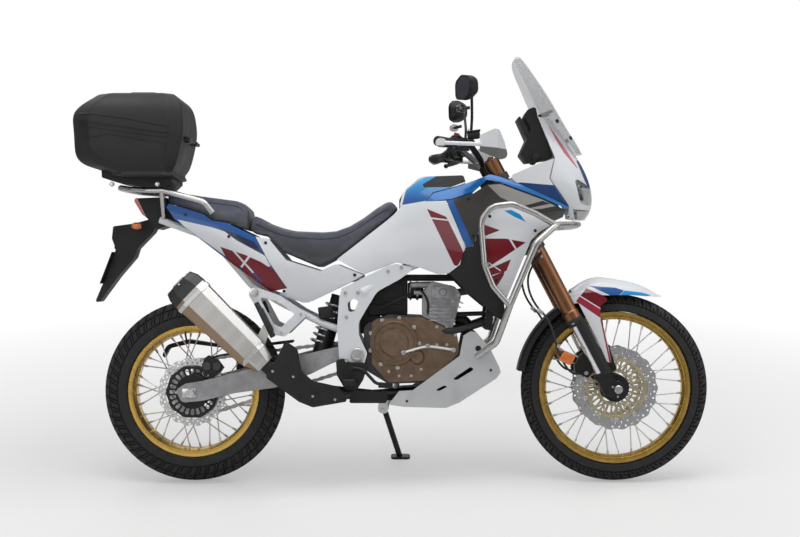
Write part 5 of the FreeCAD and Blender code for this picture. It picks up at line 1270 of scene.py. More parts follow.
class MOTORCYCLE_OT_controls(bpy.types.Operator):
    """Grips, levers, switches, reservoir, mirrors' glass, indicators and bar ends"""
    bl_idname = "motorcycle.controls"
    bl_label = "Handlebar controls"

    def execute(self, context):
        sizes = context.scene.motorcycle_controls
        for side in SIDES:
            hand = HANDS[side]
            self.grip(sizes.grip_rings, side, hand)
            self.lever(sizes.lever_length, side, hand)
            self.switches(side, hand)
            self.mirror(side, hand)
            self.indicator(side, hand)
        return {"FINISHED"}

    def grip(self, count, side, hand):
        """The grip's rings and flange, and the weight at the bar's end."""
        tip, root = Vector((119, side * 452, 1228)), Vector((170, side * 340, 1228))
        shape = bmesh.new()
        for i in range(count):
            centre = tip.lerp(root, (i + 1) / (count + 1))
            turned(shape, [(-1.6, 15), (-0.9, 17.8), (0.9, 17.8), (1.6, 15)], centre, root - tip, 32)
        turned(shape, [(-3, 16), (-3, 22), (0, 24), (3, 22), (3, 16)], root, root - tip, 40)
        piece(faces_out(shape), f"grip_{hand}", "steering", soft_rubber(), 50, slot="black_plastic")
        shape = bmesh.new()
        turned(shape, [(-4, 17.5), (14, 17.5), (17, 15), (17, 6), (13, 4), (13, 0)], tip, tip - root, 40)
        piece(faces_out(shape), f"bar_end_{hand}", "steering", satin_black(), 35, slot="black_metal")

    def lever(self, length, side, hand):
        """A curved lever with a ball end, in its clamp."""
        shape = bmesh.new()
        pivot = Vector((222, side * 300, 1218))
        end = Vector((168, side * (300 + length), 1200))
        bend = pivot.lerp(end, 0.25) + Vector((16, 0, -2))
        middle = pivot.lerp(end, 0.62) + Vector((6, 0, -3))
        lofted(shape, [oval(spot, (wide, 0, 0), (0, 0, tall), 12) for spot, wide, tall in
                       ((pivot, 7, 9), (bend, 6, 8), (middle, 5, 7.5), (end, 4.5, 7))])
        bmesh.ops.create_uvsphere(shape, u_segments=20, v_segments=12, radius=9.5,
                                  matrix=Matrix.Translation(end))
        bar(shape, pivot + Vector((0, 0, -13)), pivot + Vector((0, 0, 13)), 8, 20, edge=1)
        box(shape, pivot + Vector((-14, side * 2, 0)), (36, 26, 18), edge=3)
        piece(faces_out(shape), f"lever_{hand}", "steering", satin_black(), 50, slot="black_metal",
              subdivide=1)

    def switches(self, side, hand):
        """The switch block, with a horn switch on the left and a stop switch and reservoir on the right."""
        shape = bmesh.new()
        box(shape, (182, side * 303, 1254), (34, 40, 12), edge=4)
        box(shape, (160, side * 303, 1233), (14, 36, 30), edge=4)
        for i in range(3):
            box(shape, (153, side * (290 + 13 * i), 1234), (4, 9, 10), edge=1.4)
        piece(shape, f"switch_block_{hand}", "steering", black_plastic(), 40, slot="black_plastic")
        shape = bmesh.new()
        if side > 0:
            box(shape, (184, 303, 1264), (20, 16, 7), edge=2)
            piece(shape, "horn_switch", "steering", black_plastic(), 40, slot="black_plastic")
            return
        box(shape, (184, -303, 1264), (20, 16, 9), turn_y(14), 2)
        piece(shape, "stop_switch", "steering", red_knob(), 40, slot="red_lens")
        shape = bmesh.new()
        box(shape, (246, -268, 1262), (44, 44, 24), turn_y(-8), 4)
        box(shape, (245, -268, 1277), (48, 48, 7), turn_y(-8), 2)
        piece(shape, "brake_reservoir", "steering", satin_black(), 40, slot="black_metal")
        shape = bmesh.new()
        for dx, dy in ((-18, -18), (18, -18), (-18, 18), (18, 18)):
            bolt(shape, (245 + dx, -268 + dy, 1280 - dx * 0.14), (0.14, 0, 1), 3, 2, "socket")
        piece(shape, "reservoir_screws", "steering", brushed_steel(), 35, slot="steel")

    def mirror(self, side, hand):
        """A mirror's glass, and the rim round it."""
        outline = [(-54, -36, 20), (-58, 24, 24), (-10, 46, 40), (56, 36, 24), (60, -22, 24), (4, -44, 40)]
        turn = Matrix.Rotation(-side * math.radians(24), 4, "Z")
        seat = Matrix.Translation((216, side * 426, 1415)) @ turn

        def corners(back, share):
            points = rounded([(side * share * u, share * v, share * r) for u, v, r in outline], 8)
            return [seat @ Vector((back, u, v)) for u, v in points]

        shape = bmesh.new()
        grown(shape, [face_of(shape, corners(-18.4, 0.86))], turn.to_3x3() @ Vector((1.6, 0, 0)))
        piece(faces_out(shape), f"mirror_glass_{hand}", "steering", mirror_glass(), 35, slot="chrome")
        shape = bmesh.new()
        rim = corners(-18, 0.95)
        for start, end in zip(rim, rim[1:] + rim[:1]):
            bar(shape, start, end, 2.5, 8)
        piece(faces_out(shape), f"mirror_rim_{hand}", "steering", black_plastic(), 35, slot="black_plastic")

    def indicator(self, side, hand):
        """A clear bullet lamp with a dark stalk on the mirror's stem."""
        lens_at = Vector((196, side * 395, 1347))
        shape = bmesh.new()
        lofted(shape, [oval(lens_at + Vector((along, 0, 0)), (0, tall * 1.35, 0), (0, 0, tall), 20)
                       for along, tall in ((-16, 6), (-13, 11), (-4, 15), (8, 15), (16, 12), (19, 6))])
        piece(faces_out(shape), f"indicator_lens_{hand}", "steering", clear_lens(), 60, slot="clear")
        shape = bmesh.new()
        bar(shape, lens_at + Vector((0, 0, -3)), lens_at + Vector((0, 0, 3)), 6, 16)
        piece(shape, f"indicator_bulb_{hand}", "steering", orange_lens(), 60, slot="red_lens")
        shape = bmesh.new()
        bar(shape, lens_at + Vector((2, -side * 12, 0)), (226, side * 368, 1352), 6, 16, edge=1)
        piece(shape, f"indicator_stalk_{hand}", "steering", black_plastic(), 40, slot="black_plastic")


class MOTORCYCLE_OT_fork(bpy.types.Operator):
    """Fork caps, seals, pinch bolts, reflectors, brake hoses and caliper details"""
    bl_idname = "motorcycle.fork"
    bl_label = "Fork and brakes"

    def execute(self, context):
        for side in SIDES:
            self.legs(side, HANDS[side])
            self.caliper(side, HANDS[side])
        shape = bmesh.new()
        bar(shape, fork_point(838, 0), fork_point(848, 0), 21, 6, 20)
        bar(shape, fork_point(842, 0), fork_point(856, 0), 13, 32, edge=1.5)
        piece(shape, "stem_nut", "steering", brushed_steel(), 35, slot="steel")
        return {"FINISHED"}

    def legs(self, side, hand):
        """One leg's dust seals, cap, bolts, reflector and brake hose."""
        out = Vector((0, side, 0))
        shape = bmesh.new()
        for low, deep, radius in ((276, 10, 31.5), (290, 14, 33.2)):
            turned(shape, [(0, radius - 3), (0, radius), (deep, radius), (deep, radius - 3)],
                   fork_point(low, 35, side * 105), FORK_UP, 48)
        piece(faces_out(shape), f"fork_seal_{hand}", "steering", soft_rubber(), 35, slot="black_plastic")
        shape = bmesh.new()
        top = fork_point(954, 35, side * 105)
        stub(shape, top, FORK_UP, 5, 21, 40, edge=1)
        stub(shape, top + FORK_UP * 5, FORK_UP, 8, 13, 6, 12.5)
        stub(shape, top + FORK_UP * 13, FORK_UP, 5, 6, 20, edge=0.8)
        piece(shape, f"fork_cap_{hand}", "steering", copper_anodised(), 35, slot="bronze")
        shape = bmesh.new()
        for along in (560, 582, 846, 862):
            bolt(shape, fork_point(along, 35, side * 139), out, 5.5, 5, "socket")
        turned(shape, [(-3, 15), (3, 15), (5, 13), (5, 8), (1, 7), (1, 0)], FRONT_AXLE + out * 139, out, 40)
        for along in (-22, 18):
            bolt(shape, fork_point(along, 46, side * 132), out, 4.5, 5, "socket")
        piece(shape, f"fork_bolts_{hand}", "steering", brushed_steel(), 35, slot="steel")
        shape = bmesh.new()
        low, high = sorted((side * 138, side * 145))
        plate(shape, [(560, 455, 8), (582, 488, 8), (625, 470, 8), (604, 434, 8)], low, high, 1.5)
        piece(shape, f"reflector_{hand}", "steering", orange_lens(), 40, slot="red_lens")
        points = [(500, 136, 850), (462, 140, 800), (444, 140, 736), (470, 142, 660), (530, 142, 600),
                  (560, 140, 480), (600, 128, 410), (640, 96, 400), (668, 78, 404)]
        hose(f"brake_hose_{hand}", [(x, side * y, z) for x, y, z in points], 4, "steering", soft_rubber(),
             "black_plastic")
        shape = bmesh.new()
        box(shape, (494, side * 142, 632), (26, 12, 14), turn_y(40), 2)
        stub(shape, (560, side * 141, 500), (0, 0, 1), 12, 6, 16)
        stub(shape, (668, side * 80, 404), out, 8, 8, 6)
        piece(shape, f"hose_clips_{hand}", "steering", brushed_steel(), 35, slot="steel")

    def caliper(self, side, hand):
        """Bridge, pistons' caps, pad pins and bleed screw on the radial caliper."""
        centre, out = Vector((704, side * 80, 444)), Vector((0, side, 0))
        down, ahead = -FORK_UP, FORK_AHEAD
        shape = bmesh.new()
        for step in (-27, 27):
            turned(shape, [(-3, 21), (4, 21), (6, 19), (6, 15), (4.5, 14), (4.5, 0)],
                   centre + down * step - ahead * 4, out, 40)
        box(shape, centre + ahead * 24 + out, (118, 8, 14), turn_y(math.degrees(RAKE) - 90), 3)
        piece(faces_out(shape), f"caliper_caps_{hand}", "steering", satin_black(), 35, slot="black_metal")
        shape = bmesh.new()
        for step, reach in ((-56, -14), (56, -14), (0, 22), (-20, 24), (20, 24)):
            bolt(shape, centre + down * step + ahead * reach + out * 2, out, 5.4, 5, "socket")
        stub(shape, centre - down * 58 + ahead * 10, -down, 16, 3.4, 12, 2.6)
        piece(shape, f"caliper_bolts_{hand}", "steering", brushed_steel(), 35, slot="steel")


class MOTORCYCLE_OT_lights(bpy.types.Operator):
    """Headlight bowls and lamps behind the lenses, dash, knobs, and the screen's bolts"""
    bl_idname = "motorcycle.lights"
    bl_label = "Lights and dash"

    def execute(self, context):
        for side in SIDES:
            self.headlight(side, HANDS[side])
        shape = bmesh.new()
        box(shape, (640, 0, 1066), (10, 26, 80), edge=4)
        box(shape, (612, 0, 1066), (12, 196, 88), edge=6)
        piece(shape, "headlight_back", "root", black_plastic(), 40, slot="black_plastic")
        self.dash()
        self.screen()
        return {"FINISHED"}

    def headlight(self, side, hand):
        """The bowls and lamps of one side: a head lamp over a small low one."""
        shape, bulb = bmesh.new(), bmesh.new()
        for y, z, reach, radius in ((52, 1066, 652, 27), (30, 986, 634, 13)):
            centre = Vector((reach, side * y, z))
            turned(shape, [(-22, radius * 0.3), (-16, radius * 0.62), (-6, radius * 0.88), (4, radius),
                           (5, radius + 1.5), (-6, radius * 0.93), (-18, radius * 0.64), (-24, radius * 0.3)],
                   centre, (1, 0, 0.12), 40)
            bmesh.ops.create_uvsphere(bulb, u_segments=24, v_segments=14, radius=radius * 0.55,
                                      matrix=Matrix.Translation(centre + Vector((-10, 0, 0))))
        piece(faces_out(shape), f"headlight_bowl_{hand}", "root", reflector_bowl(), 50, slot="chrome")
        piece(bulb, f"headlight_bulb_{hand}", "root", mirror_glass(), 60, slot="chrome")

    def dash(self):
        """The dash's bezel and screen, and a ribbed knob on each side for the windscreen."""
        turn = turn_y(-24)
        shape = bmesh.new()
        box(shape, (442, 0, 1300), (10, 168, 104), turn, 4)
        piece(shape, "dash_bezel", "root", black_plastic(), 40, slot="black_plastic")
        shape = bmesh.new()
        box(shape, (437.4, 0, 1302), (3, 138, 80), turn, 1.4)
        piece(shape, "dash_screen", "root", dark_glass(), 40, slot="clear")
        shape = bmesh.new()
        for side in SIDES:
            stub(shape, (484, side * 84, 1196), (0, side, 0), 12, 15, 32, edge=2)
            for spot, _ in circled((484, side * 90, 1196), 15, 12):
                bar(shape, spot - Vector((0, 5, 0)), spot + Vector((0, 5, 0)), 2.2, 8)
        piece(shape, "screen_knobs", "root", black_plastic(), 40, slot="black_plastic")

    def screen(self):
        shape = bmesh.new()
        for side in SIDES:
            for z, x in ((1270, 612), (1330, 560)):
                spot, normal = touch((x, side * 500, z), (0, -side, 0), "windscreen")
                bolt(shape, spot + normal * 0.3, normal, 8, 4, "socket")
        piece(shape, "screen_bolts", "root", satin_black(), 35, slot="black_metal")


# Bodywork, seats, luggage and running gear

class BodySizes(bpy.types.PropertyGroup):
    pad_rise: measure("Seat rise", "Furthest the seat covers swell, in millimetres", 5, 0, 10)
    ridge: measure("Case ridges", "Height of the top case's mouldings in millimetres", 2.6, 0, 5)


def moulding(shape, side, path, width, height, name):
    """A raised strip that follows a node's surface along a line of (x, z) seen from the side."""
    spots = []
    for start, end in zip(path, path[1:]):
        run = Vector(end) - Vector(start)
        across = Vector((-run.y, run.x)).normalized() * width / 2
        count = max(1, round(run.length / 14))
        spots += [(Vector(start) + run * k / count, across) for k in range(count)]
    spots.append((Vector(path[-1]), across))
    out, sink = Vector((0, side * height, 0)), Vector((0, side * 0.8, 0))
    loops = []
    for spot, across in spots:
        low, high = (from_side(side, *edge, name) for edge in (spot - across, spot + across))
        inset = Vector((across.x, 0, across.y)) * 0.35
        loops.append([low - sink, low + out + inset, high + out - inset, high - sink])
    lofted(shape, loops)


def settled(thing, old):
    """Applies an object's modifiers and gives its new mesh."""
    mesh = bpy.data.meshes.new_from_object(thing.evaluated_get(bpy.context.evaluated_depsgraph_get()))
    thing.modifiers.clear()
    thing.data = mesh
    bpy.data.meshes.remove(old)
    return mesh


def blown_up(cover, mesh, swell):
    """Lets air pressure stretch a cover held at its underside, no further than swell."""
    rest = [v.co.copy() for v in mesh.vertices]
    pins = cover.vertex_groups.new(name="pins")
    low = min(v.co.z for v in mesh.vertices)
    for vert in mesh.vertices:
        if vert.normal.z < -0.5 or vert.co.z < low + 0.01:
            pins.add([vert.index], 1.0, "REPLACE")
    cloth = cover.modifiers.new("cloth", "CLOTH")
    cloth.settings.quality = 5
    cloth.settings.mass = 0.3
    cloth.settings.use_pressure = True
    cloth.settings.uniform_pressure_force = 4
    cloth.settings.effector_weights.gravity = 0
    cloth.settings.vertex_group_mass = "pins"
    cloth.point_cache.frame_start, cloth.point_cache.frame_end = 1, 20
    for number in range(1, 21):
        bpy.context.scene.frame_set(number)
    mesh = settled(cover, mesh)
    bpy.context.scene.frame_set(1)
    for vert, home in zip(mesh.vertices, rest):
        moved = vert.co - home
        if moved.length > swell / 1000:
            vert.co = home + moved.normalized() * swell / 1000
    return mesh


def pad(name, node, swell):
    """A seat cover blown up a little over the frame's solid seat; gives its surface."""
    mesh = NODES[node].data.copy()
    cover = bpy.data.objects.new(name, mesh)
    bpy.context.scene.collection.objects.link(cover)
    even = cover.modifiers.new("even", "REMESH")
    even.mode = "VOXEL"
    even.voxel_size = 0.0065
    even.use_smooth_shade = True
    mesh = settled(cover, mesh)
    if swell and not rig.quick():
        mesh = blown_up(cover, mesh, swell)
    soft = cover.modifiers.new("soft", "SMOOTH")
    soft.iterations = 4
    soft.factor = 0.5
    mesh = settled(cover, mesh)
    mesh.materials.clear()
    mesh.materials.append(seat_vinyl())
    mesh.shade_smooth()
    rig.ride(cover, "root")
    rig.replaces(cover, node)
    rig.slot(cover, "seat")
    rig.padded(cover, fill=0.75)
    return tree_from(mesh)


class MOTORCYCLE_OT_seats(bpy.types.Operator):
    """Padded seats with piped seams"""
    bl_idname = "motorcycle.seats"
    bl_label = "Seats"

    def execute(self, context):
        swell = context.scene.motorcycle_body.pad_rise
        for name, node, first, last, drop in (("rider", "rider_seat", -545, -60, 26),
                                              ("pillion", "pillion_seat", -860, -590, 20)):
            tree = pad(f"{name}_seat_cover", node, swell)
            for side in SIDES:
                points = []
                for k in range(26):
                    x = first + (last - first) * k / 25
                    top = tree.ray_cast(Vector((x, side * 40, 1300)), Vector((0, 0, -1)))[0]
                    if top is None:
                        continue
                    spot = tree.ray_cast(Vector((x, side * 400, top.z - drop)), Vector((0, -side, 0)))[0]
                    if spot is not None and spot.y * side > 40:
                        points.append(spot)
                hose(f"{name}_seam_{HANDS[side]}", points, 1.7, "root", soft_rubber(), "seat", 8)
        return {"FINISHED"}


# The top case's ridges on each body: piece, node, and lines of (x, z) with their widths
RIDGES = [("lid_ridges", "lid", "case_lid", [([(-1172, 1346), (-1120, 1345), (-1000, 1330), (-845, 1300)], 9),
                                             ([(-1172, 1322), (-1080, 1310), (-845, 1275)], 5)]),
          ("tub_ridges", "root", "case_tub", [([(-1172, 1304), (-1080, 1292), (-845, 1258)], 5),
                                              ([(-1150, 1258), (-1060, 1272), (-860, 1240)], 6),
                                              ([(-1140, 1226), (-1090, 1180)], 6)])]


class MOTORCYCLE_OT_luggage(bpy.types.Operator):
    """Top case mouldings, latch, lock and feet"""
    bl_idname = "motorcycle.luggage"
    bl_label = "Top case"

    def execute(self, context):
        ridge = context.scene.motorcycle_body.ridge
        for side in SIDES:
            for label, body, node, lines in RIDGES:
                shape = bmesh.new()
                for line, width in lines:
                    moulding(shape, side, line, width, ridge, node)
                piece(faces_out(shape), f"{label}_{HANDS[side]}", body, case_plastic(), 40,
                      slot="case_plastic")
        shape = bmesh.new()
        back = touch((-1400, 0, 1330), (1, 0, 0), "case_lid")[0]
        box(shape, (back.x - 1, 0, 1336), (10, 92, 26), edge=4)
        box(shape, (back.x - 3, 0, 1324), (8, 70, 6), edge=2)
        piece(shape, "case_latch", "lid", satin_black(), 40, slot="black_metal")
        shape = bmesh.new()
        back = touch((-1400, 0, 1290), (1, 0, 0), "case_tub")[0]
        bar(shape, (back.x + 4, 0, 1290), (back.x - 3, 0, 1290), 12, 36, edge=1.5)
        box(shape, (back.x - 3, 0, 1290), (1.5, 2, 10))
        piece(shape, "case_lock", "root", brushed_steel(), 40, slot="steel")
        shape = bmesh.new()
        for side in SIDES:
            for x in (-1066, -900):
                bar(shape, (x, side * 151, 1096), (x, side * 139, 1096), 9, 24, edge=1.5)
        piece(shape, "case_feet", "root", brushed_steel(), 40, slot="steel")
        return {"FINISHED"}


class MOTORCYCLE_OT_exhaust(bpy.types.Operator):
    """Silencer bands, cap rim, bracket and shield screws"""
    bl_idname = "motorcycle.exhaust"
    bl_label = "Exhaust details"

    def execute(self, context):
        along, up = SILENCER_WAY, SILENCER_UP
        corners = [(-0.5, 1), (0.5, 1), (1, 0.55), (1, -0.55), (0.5, -1), (-0.5, -1), (-1, -0.55), (-1, 0.55)]
        shape = bmesh.new()
        for reach, half, tall in ((58, 43.6, 51), (352, 51, 70)):
            rings = []
            for step, grow in ((-9, 0.4), (-8, 1.6), (8, 1.6), (9, 0.4)):
                middle = SILENCER_FOOT + along * (reach + step)
                rings.append([middle + Vector((0, u * (half + grow), 0)) + up * v * (tall + grow)
                              for u, v in corners])
            lofted(shape, rings, capped=False)
        piece(faces_out(shape), "silencer_bands", "root", brushed_steel(), 35, slot="steel")
        shape = bmesh.new()
        mouth = SILENCER_FOOT + along * 428
        turned(shape, [(-14, 22.5), (3, 22.5), (5, 24.5), (5, 28), (2, 31), (-2, 31)], mouth, along, 48)
        turned(shape, [(-34, 0), (-34, 19), (-10, 19.5), (-10, 22)], mouth, along, 40)
        piece(faces_out(shape), "silencer_mouth", "root", brushed_steel(), 35, slot="steel")
        shape = bmesh.new()
        for spot in oval(mouth + along * 54, (0, 43, 0), up * 54, 6):
            bolt(shape, touch(spot, -along, "silencer")[0], along, 4, 3, "socket")
        hook = Vector((-548, -150, 702))
        stub(shape, hook, (0, -1, 0), 10, 17, 32, edge=1)
        bolt(shape, hook - Vector((0, 10, 0)), (0, -1, 0), 8, 6)
        side_bolts(shape, -1, [(-474, 420), (-400, 400), (-330, 330), (-250, 318), (-452, 492)], 5, 4,
                   "socket", "heat_cover")
        piece(shape, "exhaust_bolts", "root", brushed_steel(), 35, slot="steel")
        return {"FINISHED"}


# Bolts and screws on both sides: places (x, z), head radius, head height, kind, and the nodes they stand on
FRAME_BOLTS = [([(-212, 612), (-170, 700), (-216, 700), (-60, 778), (-12, 792)], 7, 5, "socket",
                "main_frame"),
               ([(-212, 454), (-158, 450)], 6, 5, "socket", "main_frame", "foot_controls"),
               ([(-556, 706), (-378, 622), (-450, 556)], 6, 5, "socket", "subframe")]
PANEL_SCREWS = [([(306, 976), (470, 925), (330, 745)], 6, 2.4, "socket", "lower_cowls"),
                ([(212, 820), (255, 880)], 6, 2.4, "socket", "inner_cowls"),
                ([(230, 1040), (246, 905)], 6, 2.4, "socket", "side_cowls"),
                ([(-506, 882), (-182, 765), (-440, 706)], 6, 2.4, "socket", "side_panels"),
                ([(-640, 905), (-800, 985)], 6, 2.4, "socket", "tail_panels"),
                ([(268, 497)], 11, 4, "socket", "skid_plate"),
                ([(8, 305), (314, 418)], 5, 3, "socket", "skid_plate")]
CRASH_BAR_BOLTS = [([(636, 950), (289, 800), (262, 560)], 8, 6, "hex", "crash_bars")]


def bolted(shape, rows):
    for side in SIDES:
        for row in rows:
            side_bolts(shape, side, *row)


class MOTORCYCLE_OT_fasteners(bpy.types.Operator):
    """Frame bolts, caps, panel screws, relay box and pegs' rubbers"""
    bl_idname = "motorcycle.fasteners"
    bl_label = "Fasteners and fittings"

    def execute(self, context):
        shape = bmesh.new()
        for side in SIDES:
            wall = from_side(side, -178, 475, "main_frame", "swingarm", "foot_controls").y
            turned(shape, [(-2, 24), (3, 24), (5, 22), (5, 15), (3, 14), (3, 0)], (-172, wall, 475),
                   (0, side, 0), 40)
        bolted(shape, FRAME_BOLTS)
        piece(faces_out(shape), "frame_bolts", "root", brushed_steel(), 35, slot="steel")
        shape = bmesh.new()
        bolted(shape, PANEL_SCREWS)
        piece(shape, "panel_screws", "root", satin_black(), 35, slot="black_metal")
        shape = bmesh.new()
        bolted(shape, CRASH_BAR_BOLTS)
        piece(shape, "crash_bar_bolts", "root", brushed_steel(), 35, slot="steel")
        self.pegs()
        shape = bmesh.new()
        box(shape, (-288, -122, 628), (54, 20, 44), turn_y(-8), 4)
        box(shape, (-288, -133, 628), (46, 4, 36), turn_y(-8), 1.5)
        piece(shape, "relay_box", "root", black_plastic(), 40, slot="black_plastic")
        return {"FINISHED"}

    def pegs(self):
        """The rider pegs' ribbed rubbers, and the pillion pegs folded up against their hangers."""
        shape = bmesh.new()
        for side in SIDES:
            for k in range(7):
                box(shape, (-200, side * (188 + 9 * k), 385.5), (40, 4.6, 5), edge=1.4)
            box(shape, (-200, side * 212, 382), (42, 66, 5), edge=2)
        piece(shape, "peg_rubbers", "root", soft_rubber(), 40, slot="black_plastic")
        shape = bmesh.new()
        for side in SIDES:
            wall = from_side(side, -528, 664, "subframe").y
            bar(shape, (-540, wall - side * 4, 664), (-478, wall + side * 12, 540), 10, 20, edge=2)
            box(shape, (-505, wall + side * 12, 600), (22, 20, 96), turn_y(-27), 5)
        piece(shape, "pillion_pegs", "root", soft_rubber(), 40, slot="black_plastic")


class MOTORCYCLE_OT_rear(bpy.types.Operator):
    """Shock spring, chain adjusters, rear brake details, rear lamps and plate"""
    bl_idname = "motorcycle.rear"
    bl_label = "Rear fittings"

    def execute(self, context):
        low, high = Vector((-322, 0, 505)), Vector((-256, 0, 660))
        axis = (high - low).normalized()
        out = axis.orthogonal().normalized()
        side_way = axis.cross(out)
        coils, count = 7, 84
        points = []
        for k in range(count + 1):
            turn = math.tau * coils * k / count
            points.append(low.lerp(high, k / count) + (out * math.cos(turn) + side_way * math.sin(turn)) * 33)
        hose("shock_spring", points, 5, "root", bright_chrome(), "chrome", 12)
        shape = bmesh.new()
        for side in SIDES:
            bar(shape, (-818, side * 124, 335), (-838, side * 124, 335), 5, 6)
            box(shape, (-786, side * 146, 335), (52, 6, 34), edge=3)
            turned(shape, [(-2, 19), (6, 19), (9, 16), (9, 8), (5, 7), (5, 0)], (-780, side * 156, 335),
                   (0, side, 0), 6)
        piece(faces_out(shape), "chain_adjusters", "root", brushed_steel(), 35, slot="steel")
        shape = bmesh.new()
        for x in (-724, -688):
            turned(shape, [(-2, 16), (3, 16), (5, 14), (5, 0)], (x, -112, 430), (0, -1, 0), 36)
        piece(faces_out(shape), "rear_caliper_caps", "root", cast_dark(), 35, slot="black_metal")
        hose("rear_brake_hose", [(-704, -100, 462), (-650, -112, 480), (-560, -118, 470), (-420, -122, 462),
                                 (-300, -128, 470), (-250, -132, 470)], 4, "root", soft_rubber(),
             "black_plastic")
        self.lamps()
        return {"FINISHED"}

    def lamps(self):
        """Rear indicators on their stalks, and the blank plate."""
        shape = bmesh.new()
        for side in SIDES:
            lofted(shape, [oval((-985 + along, side * 92, 945), (0, size * 1.2, 0), (0, 0, size), 18)
                           for along, size in ((-18, 7), (-12, 12), (0, 14), (12, 12), (18, 7))])
        piece(faces_out(shape), "rear_indicators", "root", orange_lens(), 60, slot="red_lens")
        shape = bmesh.new()
        for side in SIDES:
            bar(shape, (-985, side * 36, 945), (-985, side * 84, 945), 6, 16)
        box(shape, (-1066, 0, 868), (24, 60, 14), edge=3)
        piece(shape, "rear_stalks", "root", black_plastic(), 40, slot="black_plastic")
        shape = bmesh.new()
        turn = Matrix.Rotation(math.atan2(44.4, 116), 3, "Y")
        box(shape, (-1099.2, 0, 790.6), (1.2, 164, 112), turn, 0.5)
        piece(shape, "blank_plate", "root", gloss_white(), 40, slot="white_paint")


# Studio

class StudioSizes(bpy.types.PropertyGroup):
    lens: measure("Lens", "Focal length of the camera", 72.35, 20, 300, "CAMERA")
    distance: measure("Distance", "Camera from the bike's centre plane", 6.0, 1, 30, "LENGTH")
    key: measure("Key light", "Power of the overhead softbox", 105, 0, 1000, "POWER")
    fill: measure("Fill light", "Power of the side softboxes", 24, 0, 1000, "POWER")


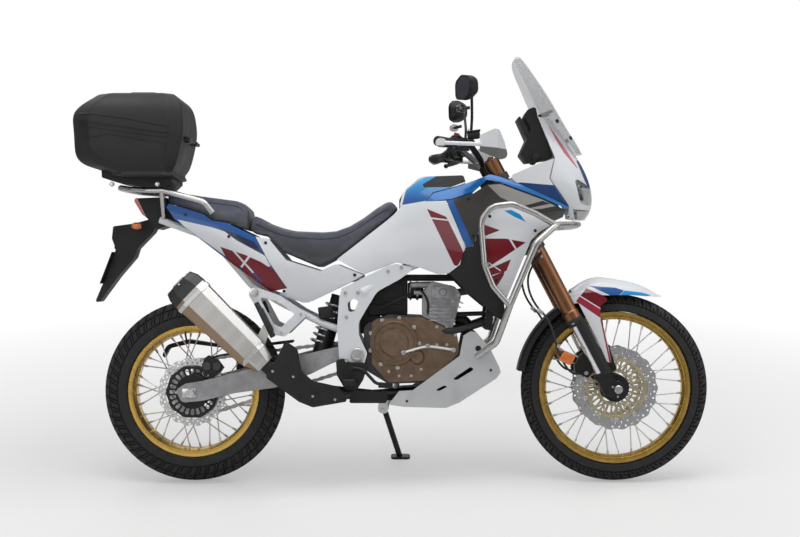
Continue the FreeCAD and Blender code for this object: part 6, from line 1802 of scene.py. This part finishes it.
class MOTORCYCLE_OT_stage(bpy.types.Operator):
    """Sets up the floor, the softboxes, the world and the camera"""
    bl_idname = "motorcycle.stage"
    bl_label = "Studio"

    def execute(self, context):
        sizes = context.scene.motorcycle_studio
        eye = UPRIGHT_TO_ROW @ Vector((-17, -sizes.distance * 1000, 788.6))
        camera = bpy.data.objects.new("camera", bpy.data.cameras.new("camera"))
        camera.data.lens = sizes.lens
        camera.data.clip_end = 200
        tilt = UPRIGHT_TO_ROW.to_3x3().normalized().to_4x4()
        camera.matrix_world = Matrix.Translation(eye) @ tilt @ Matrix.Rotation(math.radians(90), 4, "X")
        context.scene.collection.objects.link(camera)
        context.scene.camera = camera
        for name, place, aim, width, height, power in (
                ("softbox_top", (0.2, -0.6, 4.2), (0, 0, 0.6), 4.5, 2.6, sizes.key),
                ("softbox_near", (-2.2, -4.4, 2.0), (0, 0, 0.7), 2.6, 2.0, sizes.fill),
                ("softbox_front", (4.0, -1.8, 1.8), (0, 0, 0.7), 2.0, 2.0, sizes.fill * 0.8),
                ("softbox_back", (-1.5, 4.2, 2.6), (0, 0, 0.8), 3.0, 1.6, sizes.fill)):
            lamp = bpy.data.lights.new(name, "AREA")
            lamp.shape = "RECTANGLE"
            lamp.size, lamp.size_y, lamp.energy = width, height, power
            holder = bpy.data.objects.new(name, lamp)
            turn = (Vector(place) - Vector(aim)).to_track_quat("Z", "Y")
            holder.matrix_world = Matrix.Translation(place) @ turn.to_matrix().to_4x4()
            context.scene.collection.objects.link(holder)
        self.world(context)
        self.floor(context)
        context.scene.view_settings.view_transform = "Standard"
        return {"FINISHED"}

    def world(self, context):
        """Even light on the bike, and white to the eye and in reflections above the horizon."""
        world = bpy.data.worlds.new("studio")
        world.use_nodes = True
        tree = world.node_tree
        tree.nodes.clear()
        rays = tree.nodes.new("ShaderNodeLightPath")
        place = tree.nodes.new("ShaderNodeTexCoord")
        split = tree.nodes.new("ShaderNodeSeparateXYZ")
        sky = tree.nodes.new("ShaderNodeValToRGB")
        sky.color_ramp.elements[0].position, sky.color_ramp.elements[0].color = 0.50, (0.05, 0.05, 0.055, 1)
        sky.color_ramp.elements[1].position, sky.color_ramp.elements[1].color = 0.80, (0.95, 0.95, 0.95, 1)
        lift = tree.nodes.new("ShaderNodeMapRange")
        lift.inputs["From Min"].default_value = -1
        tree.links.new(place.outputs["Generated"], split.inputs[0])
        tree.links.new(split.outputs[2], lift.inputs[0])
        tree.links.new(lift.outputs[0], sky.inputs[0])
        dim, mirrored, seen = (tree.nodes.new("ShaderNodeBackground") for _ in range(3))
        dim.inputs[0].default_value, dim.inputs[1].default_value = (1, 1, 1, 1), 0.3
        tree.links.new(sky.outputs[0], mirrored.inputs[0])
        seen.inputs[0].default_value = (1, 1, 1, 1)
        first, second = (tree.nodes.new("ShaderNodeMixShader") for _ in range(2))
        glossy = tree.nodes.new("ShaderNodeMath")
        glossy.operation = "MAXIMUM"
        tree.links.new(rays.outputs["Is Glossy Ray"], glossy.inputs[0])
        tree.links.new(rays.outputs["Is Transmission Ray"], glossy.inputs[1])
        tree.links.new(glossy.outputs[0], first.inputs[0])
        tree.links.new(dim.outputs[0], first.inputs[1])
        tree.links.new(mirrored.outputs[0], first.inputs[2])
        tree.links.new(rays.outputs["Is Camera Ray"], second.inputs[0])
        tree.links.new(first.outputs[0], second.inputs[1])
        tree.links.new(seen.outputs[0], second.inputs[2])
        end = tree.nodes.new("ShaderNodeOutputWorld")
        tree.links.new(second.outputs[0], end.inputs[0])
        context.scene.world = world

    def floor(self, context):
        """A pale floor that fades to white away from the bike."""
        shape = bmesh.new()
        bmesh.ops.create_grid(shape, x_segments=1, y_segments=1, size=90)
        mesh = bpy.data.meshes.new("floor")
        shape.to_mesh(mesh)
        shape.free()
        ground = bpy.data.objects.new("floor", mesh)
        context.scene.collection.objects.link(ground)
        recipe = Recipe("studio_floor")
        rays = recipe.node("ShaderNodeLightPath", {}, out="Is Camera Ray")
        place = recipe.node("ShaderNodeTexCoord", {}, out="Object")
        away = recipe.node("ShaderNodeVectorMath", {"operation": "LENGTH"}, place, out="Value")
        fade = away.ramp(1.4, 3.2, 0.35, 1.0)
        grain = recipe.node("ShaderNodeTexNoise", {}, place, Scale=40.0).ramp(0.3, 0.7, 0.55, 0.65)
        matt = recipe.node("ShaderNodeBsdfPrincipled", {}, Base_Color=(0.9, 0.9, 0.9, 1), Roughness=grain)
        white = recipe.node("ShaderNodeEmission", {}, (1, 1, 1, 1), 1.0)
        mixed = recipe.node("ShaderNodeMixShader", {}, rays * fade, matt, white)
        recipe.node("ShaderNodeOutputMaterial", {}, mixed)
        mesh.materials.append(recipe.material)
        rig.stage(ground)


# Panel, registration and the run itself

STEPS = ["stage", "finishes", "tyres", "wheel_fittings", "discs", "engine", "controls", "fork", "lights",
         "seats", "luggage", "exhaust", "fasteners", "rear"]
GROUPS = {"motorcycle_studio": StudioSizes, "motorcycle_tyres": TyreSizes, "motorcycle_brakes": BrakeSizes,
          "motorcycle_engine": EngineSizes, "motorcycle_controls": ControlSizes,
          "motorcycle_body": BodySizes}


class MOTORCYCLE_PT_panel(bpy.types.Panel):
    """The sizes that can be changed, and a button for each step"""
    bl_label = "Motorcycle"
    bl_space_type = "VIEW_3D"
    bl_region_type = "UI"
    bl_category = "Motorcycle"

    def draw(self, context):
        for name, group in GROUPS.items():
            for key in group.__annotations__:
                self.layout.prop(getattr(context.scene, name), key)
        for step in STEPS:
            self.layout.operator(f"motorcycle.{step}")


def own_classes():
    kinds = (bpy.types.PropertyGroup, bpy.types.Operator, bpy.types.Panel)
    return [thing for thing in globals().values() if isinstance(thing, type) and issubclass(thing, kinds)]


def register():
    for thing in own_classes():
        bpy.utils.register_class(thing)
    for name, group in GROUPS.items():
        setattr(bpy.types.Scene, name, bpy.props.PointerProperty(type=group))


def unregister():
    for name in GROUPS:
        delattr(bpy.types.Scene, name)
    for thing in reversed(own_classes()):
        bpy.utils.unregister_class(thing)


def main():
    register()
    for step in STEPS:
        getattr(bpy.ops.motorcycle, step)()
    boxes = {"cad_box": [list(corner) for corner in CAD_BOX], "visual_box": [list(corner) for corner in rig.bounds()]}
    with open("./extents.json", "w") as out:
        json.dump(boxes, out)


if __name__ == "__main__":
    main()
